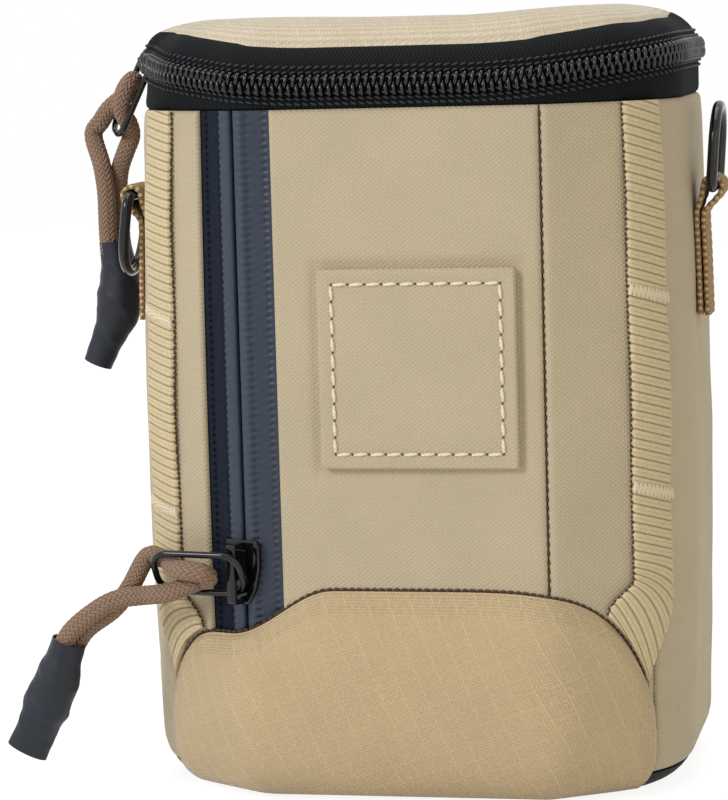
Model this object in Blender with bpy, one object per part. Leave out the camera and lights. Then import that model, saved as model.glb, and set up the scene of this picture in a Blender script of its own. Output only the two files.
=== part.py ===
"""Binocular harness pack: a padded pouch with a zipped lid and a zipped front pocket.

Metres, +Z up. The pack stands on its base, the pocket faces -Y and the lid hinges at +Y.
Run with: blender --background --python part.py
"""
from math import ceil, cos, pi, radians, sin, sqrt, tan

import bmesh
import bpy
from mathutils import Matrix, Vector

# Pouch sizes
BODY_WIDTH = 0.131
BODY_DEPTH = 0.084
BODY_TOP = 0.164
LID_TOP = 0.1848
POCKET_HALF = 0.036
POCKET_DEPTH = 0.019
POCKET_EDGE = 0.011
FRONT_CORNER = 0.030
CORNER_SEAM_AHEAD = 0.007
BACK_CORNER = 0.015
BASE_RADIUS = 0.0115
BASE_RISE = 0.005
BELLY = 0.0018

# Layers and seams
FABRIC = 0.0012
FOAM = 0.004
LINING = 0.0008
GAP = 0.0003
LAP = 0.003
INNER_DROP = 0.002
DIVIDER_SWEEP = 0.042

# Toe cap
TOE_HEIGHT = 0.0515
TOE_FOOT = 0.0006
TOE_SWELL = 0.005
TOE_NOTCH = 0.0085
NOTCH_HALF = 0.022

# Main zip round the front and the sides
ZIP_RISE = 0.011
ZIP_DIP = 0.0056
TAPE_ABOVE = 0.009
LEAN_START = 0.003
LEAN_RADIUS = 0.0034
TAPE = 0.0008
COIL = 0.0020
COIL_SLOT = 0.0014
HINGE_RISE = 0.0132
HINGE_BEAD = 0.0018

# Pocket zip up the left edge of the front
POCKET_ZIP_OUT = 0.0018
POCKET_ZIP_HALF = 0.0102
POCKET_SLOT = 0.0012
POCKET_COIL_TOP = 0.008
POCKET_SLIDER_Z = 0.0555

# Patch, daisy chains and ring tabs
PATCH_SIZE = 0.0442
PATCH_THICK = 0.0015
PATCH_X = 0.0064
PATCH_Z = 0.1038
WEBBING = 0.0014
DAISY_WIDTH = 0.0100
DAISY_AHEAD = 0.0012
DAISY_STAND = 0.0012
DAISY_TACK_Z = 0.071
DAISY_PITCH = 0.046
DAISY_TURN = 0.0065
TAB_WIDTH = 0.0124
TAB_FOOT = 0.112
TAB_FOLD = 0.1425
TAB_Y = 0.001
TAB_STAND = 0.0018
RING_WIRE = 0.0026
RING_WIDTH = 0.0188
RING_HEIGHT = 0.019
RING_CORNER = 0.003
LEFT_RING_TILT = radians(7)
RIGHT_RING_TILT = radians(4)

# Zip sliders and their pulls
SLIDER_WIDTH = 0.0104
SLIDER_LENGTH = 0.0154
SLIDER_PLATE = 0.0012
SLIDER_NECK = 0.0006
SLIDER_LIP = 0.0008
STRAP_RISE = 0.00375
STRAP_WIDTH = 0.0024
STRAP_THICK = 0.0012
STRAP_FOOT = 0.0010
PULL_WIRE = 0.0016
PULL_LENGTH = 0.0222
PULL_WIDTH = 0.0112
PULL_BACK = 0.0026
PULL_CORNER = 0.0042
PULL_TILT = radians(62)
FRONT_PULL_LIFT = radians(16)
MAIN_SLIDER_BACK = 0.008
MAIN_PULL_DROP = radians(26)
CORD = 0.0048
SLEEVE_LUMP = 0.0050

# Faces per turn of a bend, and along a flat run
BEND_STEP = radians(18)
FLAT_STEP = 0.026

# Colours as sRGB hex, then roughness and metallic value
TAN_FABRIC = ("#BDAE8D", 0.75, 0.0)
RIPSTOP = ("#C2AB80", 0.80, 0.0)
TAN_WEBBING = ("#C8B48C", 0.90, 0.0)
NAVY_TAPE = ("#3D4454", 0.55, 0.0)
BLACK_TAPE = ("#26282C", 0.85, 0.0)
BLACK_COIL = ("#1A1B1D", 0.45, 0.0)
BLACK_FABRIC = ("#1E1F21", 0.85, 0.0)
FOAM_LOOK = ("#4A4A48", 0.95, 0.0)
LINING_LOOK = ("#8C8270", 0.85, 0.0)
BLACK_METAL = ("#0E0F10", 0.25, 0.8)
BROWN_CORD = ("#8A7060", 0.90, 0.0)
SLEEVE_LOOK = ("#2C3038", 0.55, 0.0)


def smooth(t):
    """Ease from 0 to 1 with flat ends."""
    t = min(max(t, 0.0), 1.0)
    return t * t * (3.0 - 2.0 * t)


def steps(count):
    """Even fractions from 0 to 1."""
    return [i / count for i in range(count + 1)]


# Plan outline: straight and round runs from the front centre to the back centre


def outline_runs():
    """Half of the outline as (start or centre, direction, length, radius), with radius 0 when straight."""
    front = Vector((0.0, -BODY_DEPTH / 2))
    back = Vector((0.0, BODY_DEPTH / 2))
    corners = [
        (Vector((POCKET_HALF, -BODY_DEPTH / 2)), POCKET_EDGE),
        (Vector((BODY_WIDTH / 2, POCKET_DEPTH - BODY_DEPTH / 2)), FRONT_CORNER),
        (Vector((BODY_WIDTH / 2, BODY_DEPTH / 2)), BACK_CORNER),
    ]
    stops = [front] + [corner for corner, _ in corners] + [back]
    runs = []
    here = front
    for i, (corner, radius) in enumerate(corners):
        before = (corner - stops[i]).normalized()
        after = (stops[i + 2] - corner).normalized()
        turn = before.angle(after)
        reach = radius * tan(turn / 2)
        enter = corner - before * reach
        runs.append((here, before, (enter - here).length, 0.0))
        centre = enter + Vector((-before.y, before.x)) * radius
        runs.append((centre, before, radius * turn, radius))
        here = corner + after * reach
    runs.append((here, (back - here).normalized(), (back - here).length, 0.0))
    return runs


RUNS = outline_runs()
RUN_ENDS = [sum(run[2] for run in RUNS[: i + 1]) for i in range(len(RUNS))]
HALF_ROUND = RUN_ENDS[-1]
POCKET_SEAM = RUN_ENDS[0] + RUNS[1][2] / 2
ZIP_SEAM = -POCKET_SEAM - POCKET_ZIP_OUT
CORNER_SEAM = RUN_ENDS[2] + RUNS[3][2] / 2 - CORNER_SEAM_AHEAD
SIDE_START = RUN_ENDS[3]
SIDE_END = RUN_ENDS[4]
REAR_SEAM = RUN_ENDS[4] + RUNS[5][2] / 2
BACK_START = RUN_ENDS[5]
SIDE_FRONT_Y = RUNS[4][0].y


def plan(s, inset=0.0):
    """Point and outward normal on the outline, s metres to the right of the front centre."""
    if s > HALF_ROUND:
        s -= 2 * HALF_ROUND
    side = -1.0 if s < 0 else 1.0
    left = abs(s)
    for i, (start, ahead, length, radius) in enumerate(RUNS):
        if left <= length or i == len(RUNS) - 1:
            break
        left -= length
    normal = Vector((ahead.y, -ahead.x))
    if radius:
        normal.rotate(Matrix.Rotation(left / radius, 2))
        point = start + normal * (radius - inset)
    else:
        point = start + ahead * left - normal * inset
    return Vector((point.x * side, point.y)), Vector((normal.x * side, normal.y))


def half_marks():
    """Lengths along half the outline where faces are divided."""
    cuts = [0.0]
    start = 0.0
    for _, _, length, radius in RUNS:
        step = radius * BEND_STEP if radius else FLAT_STEP
        count = max(1, ceil(length / step))
        cuts += [start + length * (i + 1) / count for i in range(count)]
        start += length
    return cuts


CUTS = half_marks()
MARKS = sorted([-c for c in CUTS[1:]] + CUTS + [2 * HALF_ROUND - c for c in CUTS[:-1]])
AROUND = [s for s in MARKS if -HALF_ROUND < s <= HALF_ROUND]


def stations(start, end):
    """The outline's divisions from start to end, both included."""
    close = 4 * GAP
    return [start] + [s for s in MARKS if start + close < s < end - close] + [end]


# Surfaces that the pieces follow


def rounding(z):
    """How far the rounded bottom edge draws in at height z."""
    rest = max(BASE_RADIUS - z, 0.0)
    return BASE_RADIUS - sqrt(max(BASE_RADIUS**2 - rest**2, 0.0))


def belly(s, z):
    """How far the soft side walls swell at half height."""
    if s > HALF_ROUND:
        s -= 2 * HALF_ROUND
    left = abs(s)
    share = smooth((left - CORNER_SEAM + FRONT_CORNER) / FRONT_CORNER)
    share *= 1.0 - smooth((left - REAR_SEAM + BACK_CORNER) / BACK_CORNER)
    return BELLY * share * sin(pi * min(max(z / BODY_TOP, 0.0), 1.0))


def chain(s):
    """Height of the main zip's chain, which dips across the front."""
    away = smooth((abs(s) - POCKET_HALF / 2) / (SIDE_START - POCKET_HALF / 2))
    return BODY_TOP + ZIP_RISE - ZIP_DIP * (1.0 - away)


def lean(s, z):
    """How far the upper zip tape leans in over the mouth, above the chain."""
    if s > HALF_ROUND:
        s -= 2 * HALF_ROUND
    return max(z - chain(s) - LEAN_START, 0.0) ** 2 / (2 * LEAN_RADIUS)


def wall(s, z, inset):
    """A point of the pouch wall; a negative inset lies outside it."""
    point, normal = plan(s)
    offset = inset + rounding(z) - belly(s, z) + lean(s, z)
    return Vector((point.x - normal.x * offset, point.y - normal.y * offset, z))


def arch(s):
    """Height of the toe cap's arched seam, which is notched below the pocket zip."""
    reach = CORNER_SEAM * 1.02
    notch = TOE_NOTCH * smooth(1.0 - abs(s - ZIP_SEAM) / NOTCH_HALF)
    return TOE_HEIGHT * sqrt(max(1.0 - abs(s / reach) ** 5, 0.0)) - notch


HINGE_Z = BODY_TOP + HINGE_RISE
HINGE_Y = BODY_DEPTH / 2 - FABRIC / 2
HINGE_CLEAR = HINGE_BEAD / 2 + GAP


def lid_rim(s):
    """Height of the lid panel's lower edge, which falls to the hinge at the back."""
    if s > HALF_ROUND:
        s -= 2 * HALF_ROUND
    fall = smooth((abs(s) - REAR_SEAM) / (BACK_START - REAR_SEAM))
    front = chain(min(abs(s), REAR_SEAM)) + TAPE_ABOVE
    return front + (HINGE_Z + HINGE_CLEAR - front) * fall


def lid_height(s, share):
    """Height of the lid's domed top, with share 0 at the rim and 1 at the middle."""
    rim = lid_rim(s)
    return rim + (LID_TOP - rim) * (1.0 - (1.0 - share) ** 3)


def divider(u, z, back):
    """A point of the padded wall behind the pocket, sewn into the zip seam at its top."""
    seat = FABRIC + GAP
    flat = wall(-CORNER_SEAM, z, seat).lerp(wall(CORNER_SEAM, z, seat), (u + 1.0) / 2.0)
    sewn = wall(u * CORNER_SEAM, z, seat + FOAM * (1.0 - u**4))
    top = BODY_TOP - INNER_DROP
    point = flat.lerp(sewn, smooth((z - top + DIVIDER_SWEEP) / DIVIDER_SWEEP))
    point.y += back
    return point


# Tools that make solids


def linear(code):
    """A Principled colour from an sRGB hex code."""
    parts = [int(code[i : i + 2], 16) / 255 for i in (1, 3, 5)]
    return [p / 12.92 if p <= 0.04045 else ((p + 0.055) / 1.055) ** 2.4 for p in parts] + [1.0]


def paint(obj, look):
    """Give the object a material of its own."""
    code, roughness, metallic = look
    material = bpy.data.materials.new(obj.name)
    material.use_nodes = True
    shader = material.node_tree.nodes["Principled BSDF"]
    shader.inputs["Base Color"].default_value = linear(code)
    shader.inputs["Roughness"].default_value = roughness
    shader.inputs["Metallic"].default_value = metallic
    obj.data.materials.clear()
    obj.data.materials.append(material)


def finish(name, bm, look=None, origin=(0, 0, 0)):
    """Turn a bmesh into a named object whose origin is its joint."""
    bmesh.ops.recalc_face_normals(bm, faces=bm.faces[:])
    if bm.calc_volume(signed=True) < 0:
        bmesh.ops.reverse_faces(bm, faces=bm.faces[:])
    bmesh.ops.translate(bm, verts=bm.verts[:], vec=-Vector(origin))
    mesh = bpy.data.meshes.new(name)
    bm.to_mesh(mesh)
    bm.free()
    mesh.shade_smooth()
    mesh.set_sharp_from_angle(angle=radians(40))
    obj = bpy.data.objects.new(name, mesh)
    obj.location = origin
    bpy.context.scene.collection.objects.link(obj)
    if look:
        paint(obj, look)
    return obj


def slab(name, us, vs, place, look, origin=(0, 0, 0)):
    """A sheet with thickness: a grid made solid, then each corner put where place(u, v, side) says."""
    bm = bmesh.new()
    across, up = len(us) - 1, len(vs) - 1
    bmesh.ops.create_grid(bm, x_segments=across, y_segments=up, size=0.5)
    bmesh.ops.solidify(bm, geom=bm.faces[:], thickness=1.0)
    for vert in bm.verts:
        i = round((vert.co.x + 0.5) * across)
        j = round((vert.co.y + 0.5) * up)
        vert.co = place(us[i], vs[j], round(abs(vert.co.z)))
    return finish(name, bm, look, origin)


def loft(name, rings, look=None, origin=(0, 0, 0)):
    """A solid through closed rings of points, with flat ends."""
    bm = bmesh.new()
    bmesh.ops.create_circle(bm, cap_ends=True, segments=len(rings[0]), radius=1.0)
    place = bm.verts.layers.int.new("place")
    end = bm.faces[:][0]
    for i, vert in enumerate(end.verts):
        vert[place] = i
        vert.co = rings[0][i]
    for i, ring in enumerate(rings[1:]):
        made = bmesh.ops.extrude_face_region(bm, geom=[end])["geom"]
        if i:
            bmesh.ops.delete(bm, geom=[end], context="FACES_ONLY")
        end = [g for g in made if isinstance(g, bmesh.types.BMFace)][0]
        for vert in end.verts:
            vert.co = ring[vert[place]]
    bm.verts.layers.int.remove(place)
    return finish(name, bm, look, origin)


def tube(name, points, diameter, look, origin=(0, 0, 0), closed=False):
    """A round wire or cord along points."""
    curve = bpy.data.curves.new(name, "CURVE")
    curve.dimensions = "3D"
    curve.bevel_depth = diameter / 2
    curve.bevel_resolution = 2
    curve.use_fill_caps = not closed
    spline = curve.splines.new("POLY")
    spline.points.add(len(points) - 1)
    for spot, point in zip(spline.points, points):
        spot.co = (*(point - Vector(origin)), 1.0)
    spline.use_cyclic_u = closed
    spline.use_smooth = True
    obj = bpy.data.objects.new(name, curve)
    obj.location = origin
    bpy.context.scene.collection.objects.link(obj)
    paint(obj, look)
    return obj


def fuse(pieces, name, look, place, origin):
    """Join overlapping solids into one, then put it in its frame with its origin on the joint."""
    base = pieces[0]
    for other in pieces[1:]:
        union = base.modifiers.new("union", "BOOLEAN")
        union.operation = "UNION"
        union.solver = "EXACT"
        union.object = other
    graph = bpy.context.evaluated_depsgraph_get()
    graph.update()
    mesh = bpy.data.meshes.new_from_object(base.evaluated_get(graph))
    bm = bmesh.new()
    bm.from_mesh(mesh)
    bpy.data.meshes.remove(mesh)
    for piece in pieces:
        bpy.data.objects.remove(piece)
    bmesh.ops.transform(bm, matrix=place, verts=bm.verts[:])
    return finish(name, bm, look, origin)


def route(points, per_span):
    """A smooth line through points."""
    line = []
    ends = [2 * points[0] - points[1]] + points + [2 * points[-1] - points[-2]]
    for a, b, c, d in zip(ends, ends[1:], ends[2:], ends[3:]):
        for i in range(per_span):
            t = i / per_span
            bend = (2 * a - 5 * b + 4 * c - d) * t * t + (3 * b - a - 3 * c + d) * t**3
            line.append(0.5 * (2 * b + (c - a) * t + bend))
    return line + [points[-1]]


for old in list(bpy.data.objects):
    bpy.data.objects.remove(old, do_unlink=True)

# Outer fabric panels


def wall_panel(name, start, end, low, high, look, rows=6, outer=0.0, thick=FABRIC):
    """A panel of the pouch wall between two outline stations and two height functions."""

    def place(s, v, side):
        z = low(s) + (high(s) - low(s)) * v
        return wall(s, z, outer + thick * side)

    foot, rise = low(start), high(start) - low(start)
    bends = [(foot + BASE_RADIUS) / 2, BASE_RADIUS] if foot < BASE_RADIUS else []
    levels = sorted(steps(rows) + [(z - foot) / rise for z in bends])
    return slab(name, stations(start, end), levels, place, look)


def body_top(s):
    return BODY_TOP


def under_toe(s):
    return arch(s) - LAP


def base_edge(s):
    return BASE_RISE + GAP


def back_top(s):
    return lid_rim(s) - 2 * HINGE_CLEAR


zip_left = ZIP_SEAM - POCKET_ZIP_HALF
zip_right = ZIP_SEAM + POCKET_ZIP_HALF
half_gap = GAP / 2
wall_panel("pocket_left_strip", half_gap - CORNER_SEAM, zip_left, under_toe, body_top, TAN_FABRIC)
wall_panel("pocket_panel", zip_right, POCKET_SEAM - half_gap, under_toe, body_top, TAN_FABRIC)
wall_panel(
    "pocket_right_gusset", POCKET_SEAM + half_gap, CORNER_SEAM - half_gap, under_toe, body_top, TAN_FABRIC
)
wall_panel(
    "right_side_panel", CORNER_SEAM + half_gap, REAR_SEAM - half_gap, base_edge, body_top, TAN_FABRIC, 8
)
wall_panel(
    "left_side_panel", half_gap - REAR_SEAM, -CORNER_SEAM - half_gap, base_edge, body_top, TAN_FABRIC, 8
)
wall_panel(
    "back_panel",
    REAR_SEAM + half_gap,
    2 * HALF_ROUND - REAR_SEAM - half_gap,
    base_edge,
    back_top,
    BLACK_FABRIC,
    8,
)


base_rim = [0.05 * BASE_RISE, 0.25 * BASE_RISE, 0.6 * BASE_RISE, BASE_RISE]
toe_low = [TOE_FOOT] + base_rim[1:] + [BASE_RADIUS]
toe_high = [0.15, 0.35, 0.55, 0.75, 0.9, 1.0]


def toe_point(s, row, side):
    """The padded toe cap, thickest at its middle; its low rows follow the base."""
    if row < len(toe_low):
        z = toe_low[row]
    else:
        z = BASE_RADIUS + (arch(s) - BASE_RADIUS) * toe_high[row - len(toe_low)]
    v = (z - TOE_FOOT) / (arch(s) - TOE_FOOT)
    pillow = (1.0 - abs(s / CORNER_SEAM) ** 4) * (1.0 - abs(2 * v - 1) ** 2.5)
    return wall(s, z, -GAP - side * (FABRIC + TOE_SWELL * pillow))


toe_rows = list(range(len(toe_low) + len(toe_high)))
slab("toe_cap", stations(-CORNER_SEAM, CORNER_SEAM), toe_rows, toe_point, RIPSTOP)


def base_ring(z, inset):
    """A level ring of the base, drawn in from the outline."""
    return [Vector((*plan(s, inset)[0], z)) for s in AROUND]


base_rings = [base_ring(0.0, BASE_RADIUS)]
base_rings += [base_ring(z, rounding(z)) for z in base_rim]
base_rings += [base_ring(z, rounding(z) + FABRIC) for z in (base_rim[3], base_rim[2])]
base_rings += [base_ring(FABRIC, BASE_RADIUS - FABRIC), base_ring(FABRIC, BASE_RADIUS + GAP)]
loft("base_panel", base_rings, BLACK_FABRIC)

# Padding and lining

inner_foot = 2 * FABRIC + FOAM + GAP
inner_top = BODY_TOP - INNER_DROP


def foam_foot(s):
    return inner_foot


def foam_top(s):
    return inner_top


for side in ("left", "right"):
    span = [SIDE_START + GAP, SIDE_END - GAP]
    if side == "left":
        span = [-span[1], -span[0]]
    wall_panel(f"{side}_foam", *span, foam_foot, foam_top, FOAM_LOOK, 6, FABRIC + GAP, FOAM)
wall_panel(
    "back_foam",
    BACK_START + GAP,
    2 * HALF_ROUND - BACK_START - GAP,
    foam_foot,
    foam_top,
    FOAM_LOOK,
    2,
    FABRIC + GAP,
    FOAM,
)
base_foam_inset = BASE_RADIUS + FABRIC + GAP
loft(
    "base_foam",
    [base_ring(FABRIC + GAP, base_foam_inset), base_ring(FABRIC + GAP + FOAM, base_foam_inset)],
    FOAM_LOOK,
)
divider_us = [2 * f - 1 for f in steps(12)]
inner_levels = [
    inner_foot + (inner_top - inner_foot) * f for f in (0, 0.3, 0.55, 0.7, 0.76, 0.82, 0.88, 0.94, 1)
]
slab(
    "pocket_divider",
    divider_us,
    inner_levels,
    lambda u, z, side: divider(u, z, FOAM * side),
    FOAM_LOOK,
)


def lining_ring(z, inset):
    """A level ring of the lining: sides and back along the wall, front along the divider."""
    seat = FABRIC + FOAM + 2 * GAP
    ring = [wall(s, z, seat + inset) for s in stations(SIDE_START, 2 * HALF_ROUND - SIDE_START)]
    return ring + [divider(u, z, FOAM + 2 * GAP + inset) for u in divider_us[1:-1]]


lining_foot = FABRIC + FOAM + 2 * GAP
lining_levels = [lining_foot] + inner_levels
lining_rings = [lining_ring(z, 0.0) for z in lining_levels]
lining_rings += [lining_ring(z, LINING) for z in reversed(lining_levels[1:])]
lining_rings.append(lining_ring(lining_foot + LINING, LINING))
loft("lining", lining_rings, LINING_LOOK)

# Pocket zip: two coated tapes, their coils behind, and the patch beside it

tape_in = FABRIC + GAP
coil_in = tape_in + TAPE + GAP + COIL / 2
seam_point, seam_out = plan(ZIP_SEAM)


def zip_spot(across, out, z):
    """A point in the pocket zip's own frame: across the slot, out of the pocket and up."""
    beside = Vector((-seam_out.y, seam_out.x))
    return Vector((*(seam_point + beside * across + seam_out * out), z))


for side, sign in (("left", -1), ("right", 1)):
    edges = sorted(
        [ZIP_SEAM + sign * POCKET_SLOT / 2, ZIP_SEAM + sign * (POCKET_ZIP_HALF + LAP)]
    )
    wall_panel(
        f"pocket_zip_tape_{side}", *edges, under_toe, body_top, NAVY_TAPE, 6, tape_in, TAPE
    )
    coil_foot = arch(ZIP_SEAM) - LAP
    coil_rings = [
        [
            zip_spot(sign * (POCKET_SLOT + COIL) / 2, -coil_in, z)
            + COIL / 2 * Vector((cos(pi * k / 5), sin(pi * k / 5), 0))
            for k in range(10)
        ]
        for z in (coil_foot, BODY_TOP - POCKET_COIL_TOP)
    ]
    loft(f"pocket_zip_coil_{side}", coil_rings, BLACK_COIL)


def patch_point(x, z, side):
    return Vector((x, -BODY_DEPTH / 2 - GAP - PATCH_THICK * side, z))


slab(
    "patch",
    [PATCH_X - PATCH_SIZE / 2, PATCH_X + PATCH_SIZE / 2],
    [PATCH_Z - PATCH_SIZE / 2, PATCH_Z + PATCH_SIZE / 2],
    patch_point,
    TAN_FABRIC,
)

# Daisy chains down the front corners, tacked at a pitch and turned in at the toe seam


def daisy(name, sign):
    def place(across, v, side):
        middle = CORNER_SEAM - DAISY_AHEAD
        s = middle - DAISY_TURN * (1.0 - smooth(v / 0.16)) + across
        foot = arch(sign * min(middle - DAISY_TURN + across, CORNER_SEAM)) + 4 * GAP
        z = foot + (BODY_TOP - foot) * v
        stand = DAISY_STAND * sin(pi * (z - DAISY_TACK_Z) / DAISY_PITCH) ** 2
        return wall(sign * s, z, -GAP - stand - WEBBING * side)

    across = [DAISY_WIDTH * (f - 0.5) for f in steps(6)]
    slab(name, across, steps(26), place, TAN_WEBBING)


daisy("daisy_chain_left", -1)
daisy("daisy_chain_right", 1)

# Main zip: lower half on the pouch, upper half on the lid


def zip_tape(name, low, high, rows):
    def place(s, v, side):
        z = low(s) + (high(s) - low(s)) * v
        return wall(s, z, GAP + TAPE * side)

    slab(name, stations(half_gap - REAR_SEAM, REAR_SEAM - half_gap), steps(rows), place, BLACK_TAPE)


def zip_coil(name, offset):
    rings = []
    for s in stations(half_gap - REAR_SEAM, REAR_SEAM - half_gap):
        ring = []
        for k in range(8):
            turn = 2 * pi * k / 8
            ring.append(wall(s, chain(s) + offset + COIL / 2 * sin(turn), -COIL / 2 * (1 + cos(turn))))
        rings.append(ring)
    loft(name, rings, BLACK_COIL)


zip_tape("lower_zip_tape", lambda s: BODY_TOP + GAP, lambda s: chain(s) - COIL_SLOT / 2, 1)
zip_tape("upper_zip_tape", lambda s: chain(s) + COIL_SLOT / 2, lambda s: lid_rim(s) - GAP, 5)
zip_coil("lower_zip_coil", -(COIL_SLOT + COIL) / 2)
zip_coil("upper_zip_coil", (COIL_SLOT + COIL) / 2)

# Lid: domed panel, padding and lining, hinged on a bead along the back

hinge_point = Vector((0.0, HINGE_Y, HINGE_Z))
hinge_half = BODY_WIDTH / 2 - BACK_CORNER
bead = [
    [
        Vector((x, HINGE_Y + HINGE_BEAD / 2 * cos(turn), HINGE_Z + HINGE_BEAD / 2 * sin(turn)))
        for turn in (2 * pi * k / 10 for k in range(10))
    ]
    for x in (-hinge_half, hinge_half)
]
loft("hinge_binding", bead, BLACK_TAPE)


def lid_ring(share, drop):
    """A ring of the lid, drawn towards the middle by share and lowered by drop."""
    ring = []
    for s in AROUND:
        point = plan(s, lean(s, lid_rim(s)))[0] * (1.0 - 0.9 * share)
        ring.append(Vector((*point, lid_height(s, share) - drop)))
    return ring


lid_rim_inner = [Vector((*plan(s, lean(s, lid_rim(s)) + FABRIC)[0], lid_rim(s))) for s in AROUND]
lid_shares = [0.05, 0.12, 0.25, 0.5, 1.0]
lid_rings = [lid_ring(f, FABRIC) for f in reversed(lid_shares[1:])]
lid_rings += [lid_rim_inner, lid_ring(0.0, 0.0)] + [lid_ring(f, 0.0) for f in lid_shares]
loft("lid_panel", lid_rings, RIPSTOP, hinge_point)

pad_shares = [0.16, 0.3, 0.55, 1.0]


def lid_layer(name, top, thick, look):
    rings = [lid_ring(f, top + thick) for f in reversed(pad_shares)]
    rings += [lid_ring(f, top) for f in pad_shares]
    loft(name, rings, look, hinge_point)


lid_layer("lid_foam", FABRIC + GAP, FOAM, FOAM_LOOK)
lid_layer("lid_lining", FABRIC + FOAM + 2 * GAP, LINING, LINING_LOOK)
for moved in ("upper_zip_tape", "upper_zip_coil"):
    piece = bpy.data.objects[moved]
    piece.data.transform(Matrix.Translation(-hinge_point))
    piece.location = hinge_point

# D-rings in folded webbing tabs on both sides

fold_out = GAP + WEBBING + GAP + RING_WIRE / 2 + TAB_STAND
fold_radius = RING_WIRE / 2 + GAP + WEBBING / 2
tab_s = SIDE_START + TAB_Y - SIDE_FRONT_Y


def tab_path():
    """The tab's middle line in the plane across the wall: up, round the ring's bar and down."""
    inner = GAP + WEBBING / 2
    outer = inner + WEBBING + GAP
    drop = 3.0 * fold_radius
    near = fold_out - fold_radius
    far = fold_out + fold_radius
    path = [Vector((inner, TAB_FOOT))]
    for f in (1.0, 0.75, 0.5, 0.25):
        path.append(Vector((near + (inner - near) * smooth(f), TAB_FOLD - drop * f)))
    for k in range(9):
        turn = pi - pi * k / 8
        path.append(Vector((fold_out + fold_radius * cos(turn), TAB_FOLD + fold_radius * sin(turn))))
    for f in (0.25, 0.5, 0.75, 1.0):
        path.append(Vector((far + (outer - far) * smooth(f), TAB_FOLD - drop * f)))
    path.append(Vector((outer, TAB_FOOT)))
    return path


def ring_tab(name, sign):
    path = tab_path()

    def place(u, v, side):
        i = int(u)
        ahead = (path[min(i + 1, len(path) - 1)] - path[max(i - 1, 0)]).normalized()
        spot = path[i] + Vector((-ahead.y, ahead.x)) * WEBBING * (0.5 - side)
        return wall(sign * (tab_s + v), spot.y, -spot.x)

    slab(name, list(range(len(path))), [-TAB_WIDTH / 2, TAB_WIDTH / 2], place, TAN_WEBBING)


def d_ring(name, sign, tilt, up):
    """A wire D whose straight bar lies in the tab's fold, tilted out from the wall."""
    half = RING_WIDTH / 2
    shape = []
    for k in range(4):
        turn = pi + pi / 2 * k / 3
        shape.append((RING_CORNER * (1 + cos(turn)) - half, RING_CORNER * (1 + sin(turn))))
    for k in range(4):
        turn = 1.5 * pi + pi / 2 * k / 3
        shape.append((half - RING_CORNER * (1 - cos(turn)), RING_CORNER * (1 + sin(turn))))
    shoulder = RING_HEIGHT - half
    for k in range(11):
        turn = pi * k / 10
        shape.append((half * cos(turn), shoulder + half * sin(turn)))
    bar = wall(sign * tab_s, TAB_FOLD, -fold_out)
    away = Vector((sign * sin(tilt), 0.0, up * cos(tilt)))
    points = [bar + Vector((0.0, y, 0.0)) + away * h for y, h in shape]
    tube(name, points, RING_WIRE, BLACK_METAL, bar, closed=True)
    print(name, "hinge", [round(c, 6) for c in bar])


ring_tab("ring_tab_left", -1)
ring_tab("ring_tab_right", 1)
d_ring("left_d_ring", -1, LEFT_RING_TILT, -1)
d_ring("right_d_ring", 1, RIGHT_RING_TILT, 1)

# Zip sliders: two plates, the neck between the coils, lips that form the channel, and a bridge


def shield():
    """Outline of a slider plate: shoulders where the chain parts, nose where it closes."""
    w, l = SLIDER_WIDTH, SLIDER_LENGTH
    half = [(0.42, 0.5), (0.5, 0.42), (0.5, 0.08), (0.38, -0.25), (0.22, -0.44), (0.12, -0.5)]
    right = [(x * w, y * l) for x, y in half]
    return right + [(-x, y) for x, y in reversed(right)]


def prism(outline, low, high, ease=0.0):
    """A plate between two heights, with its upper edge eased."""
    rings = [[Vector((x, y, low)) for x, y in outline]]
    if ease:
        rings.append([Vector((x, y, high - ease)) for x, y in outline])
    scale = 1.0 - 2 * ease / SLIDER_WIDTH
    rings.append([Vector((x * scale, y * scale, high)) for x, y in outline])
    return loft("work", rings)


def block(x0, x1, y0, y1, low, high):
    return prism([(x0, y0), (x1, y0), (x1, y1), (x0, y1)], low, high)


def slider(prefix, place, outer, inner, lips):
    """Slider body and bridge in a frame of (across, along, out); outer and inner bound the chain."""
    top = outer + SLIDER_PLATE
    bottom = inner - SLIDER_PLATE
    bite = SLIDER_PLATE / 2
    origin = place.translation
    pieces = [prism(shield(), outer, top, SLIDER_PLATE / 4)]
    pieces.append(prism(shield(), bottom, inner))
    neck = SLIDER_NECK / 2
    pieces.append(
        block(-neck, neck, 0.1 * SLIDER_LENGTH, 0.45 * SLIDER_LENGTH, inner - bite, outer + bite)
    )
    for across, low, high in lips:
        pieces.append(
            block(
                across - SLIDER_LIP / 2,
                across + SLIDER_LIP / 2,
                -0.2 * SLIDER_LENGTH,
                0.42 * SLIDER_LENGTH,
                low,
                high,
            )
        )
    fuse(pieces, f"{prefix}_slider_body", BLACK_METAL, place, origin)
    under = STRAP_RISE - STRAP_THICK / 2
    over = STRAP_RISE + STRAP_THICK / 2
    end = SLIDER_LENGTH / 2 - STRAP_FOOT / 2
    ease = STRAP_THICK / 2
    arm = [(-end, GAP), (-end, over - ease), (ease - end, over), (end - ease, over), (end, over - ease)]
    arm += [(end, GAP), (end - STRAP_FOOT, GAP), (end - STRAP_FOOT, under)]
    arm += [(STRAP_FOOT - end, under), (STRAP_FOOT - end, GAP)]
    sides = [
        [Vector((x, y, top + h)) for y, h in arm] for x in (-STRAP_WIDTH / 2, STRAP_WIDTH / 2)
    ]
    fuse([loft("work", sides)], f"{prefix}_slider_cap", BLACK_METAL, place, origin)
    return top + STRAP_RISE


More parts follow.
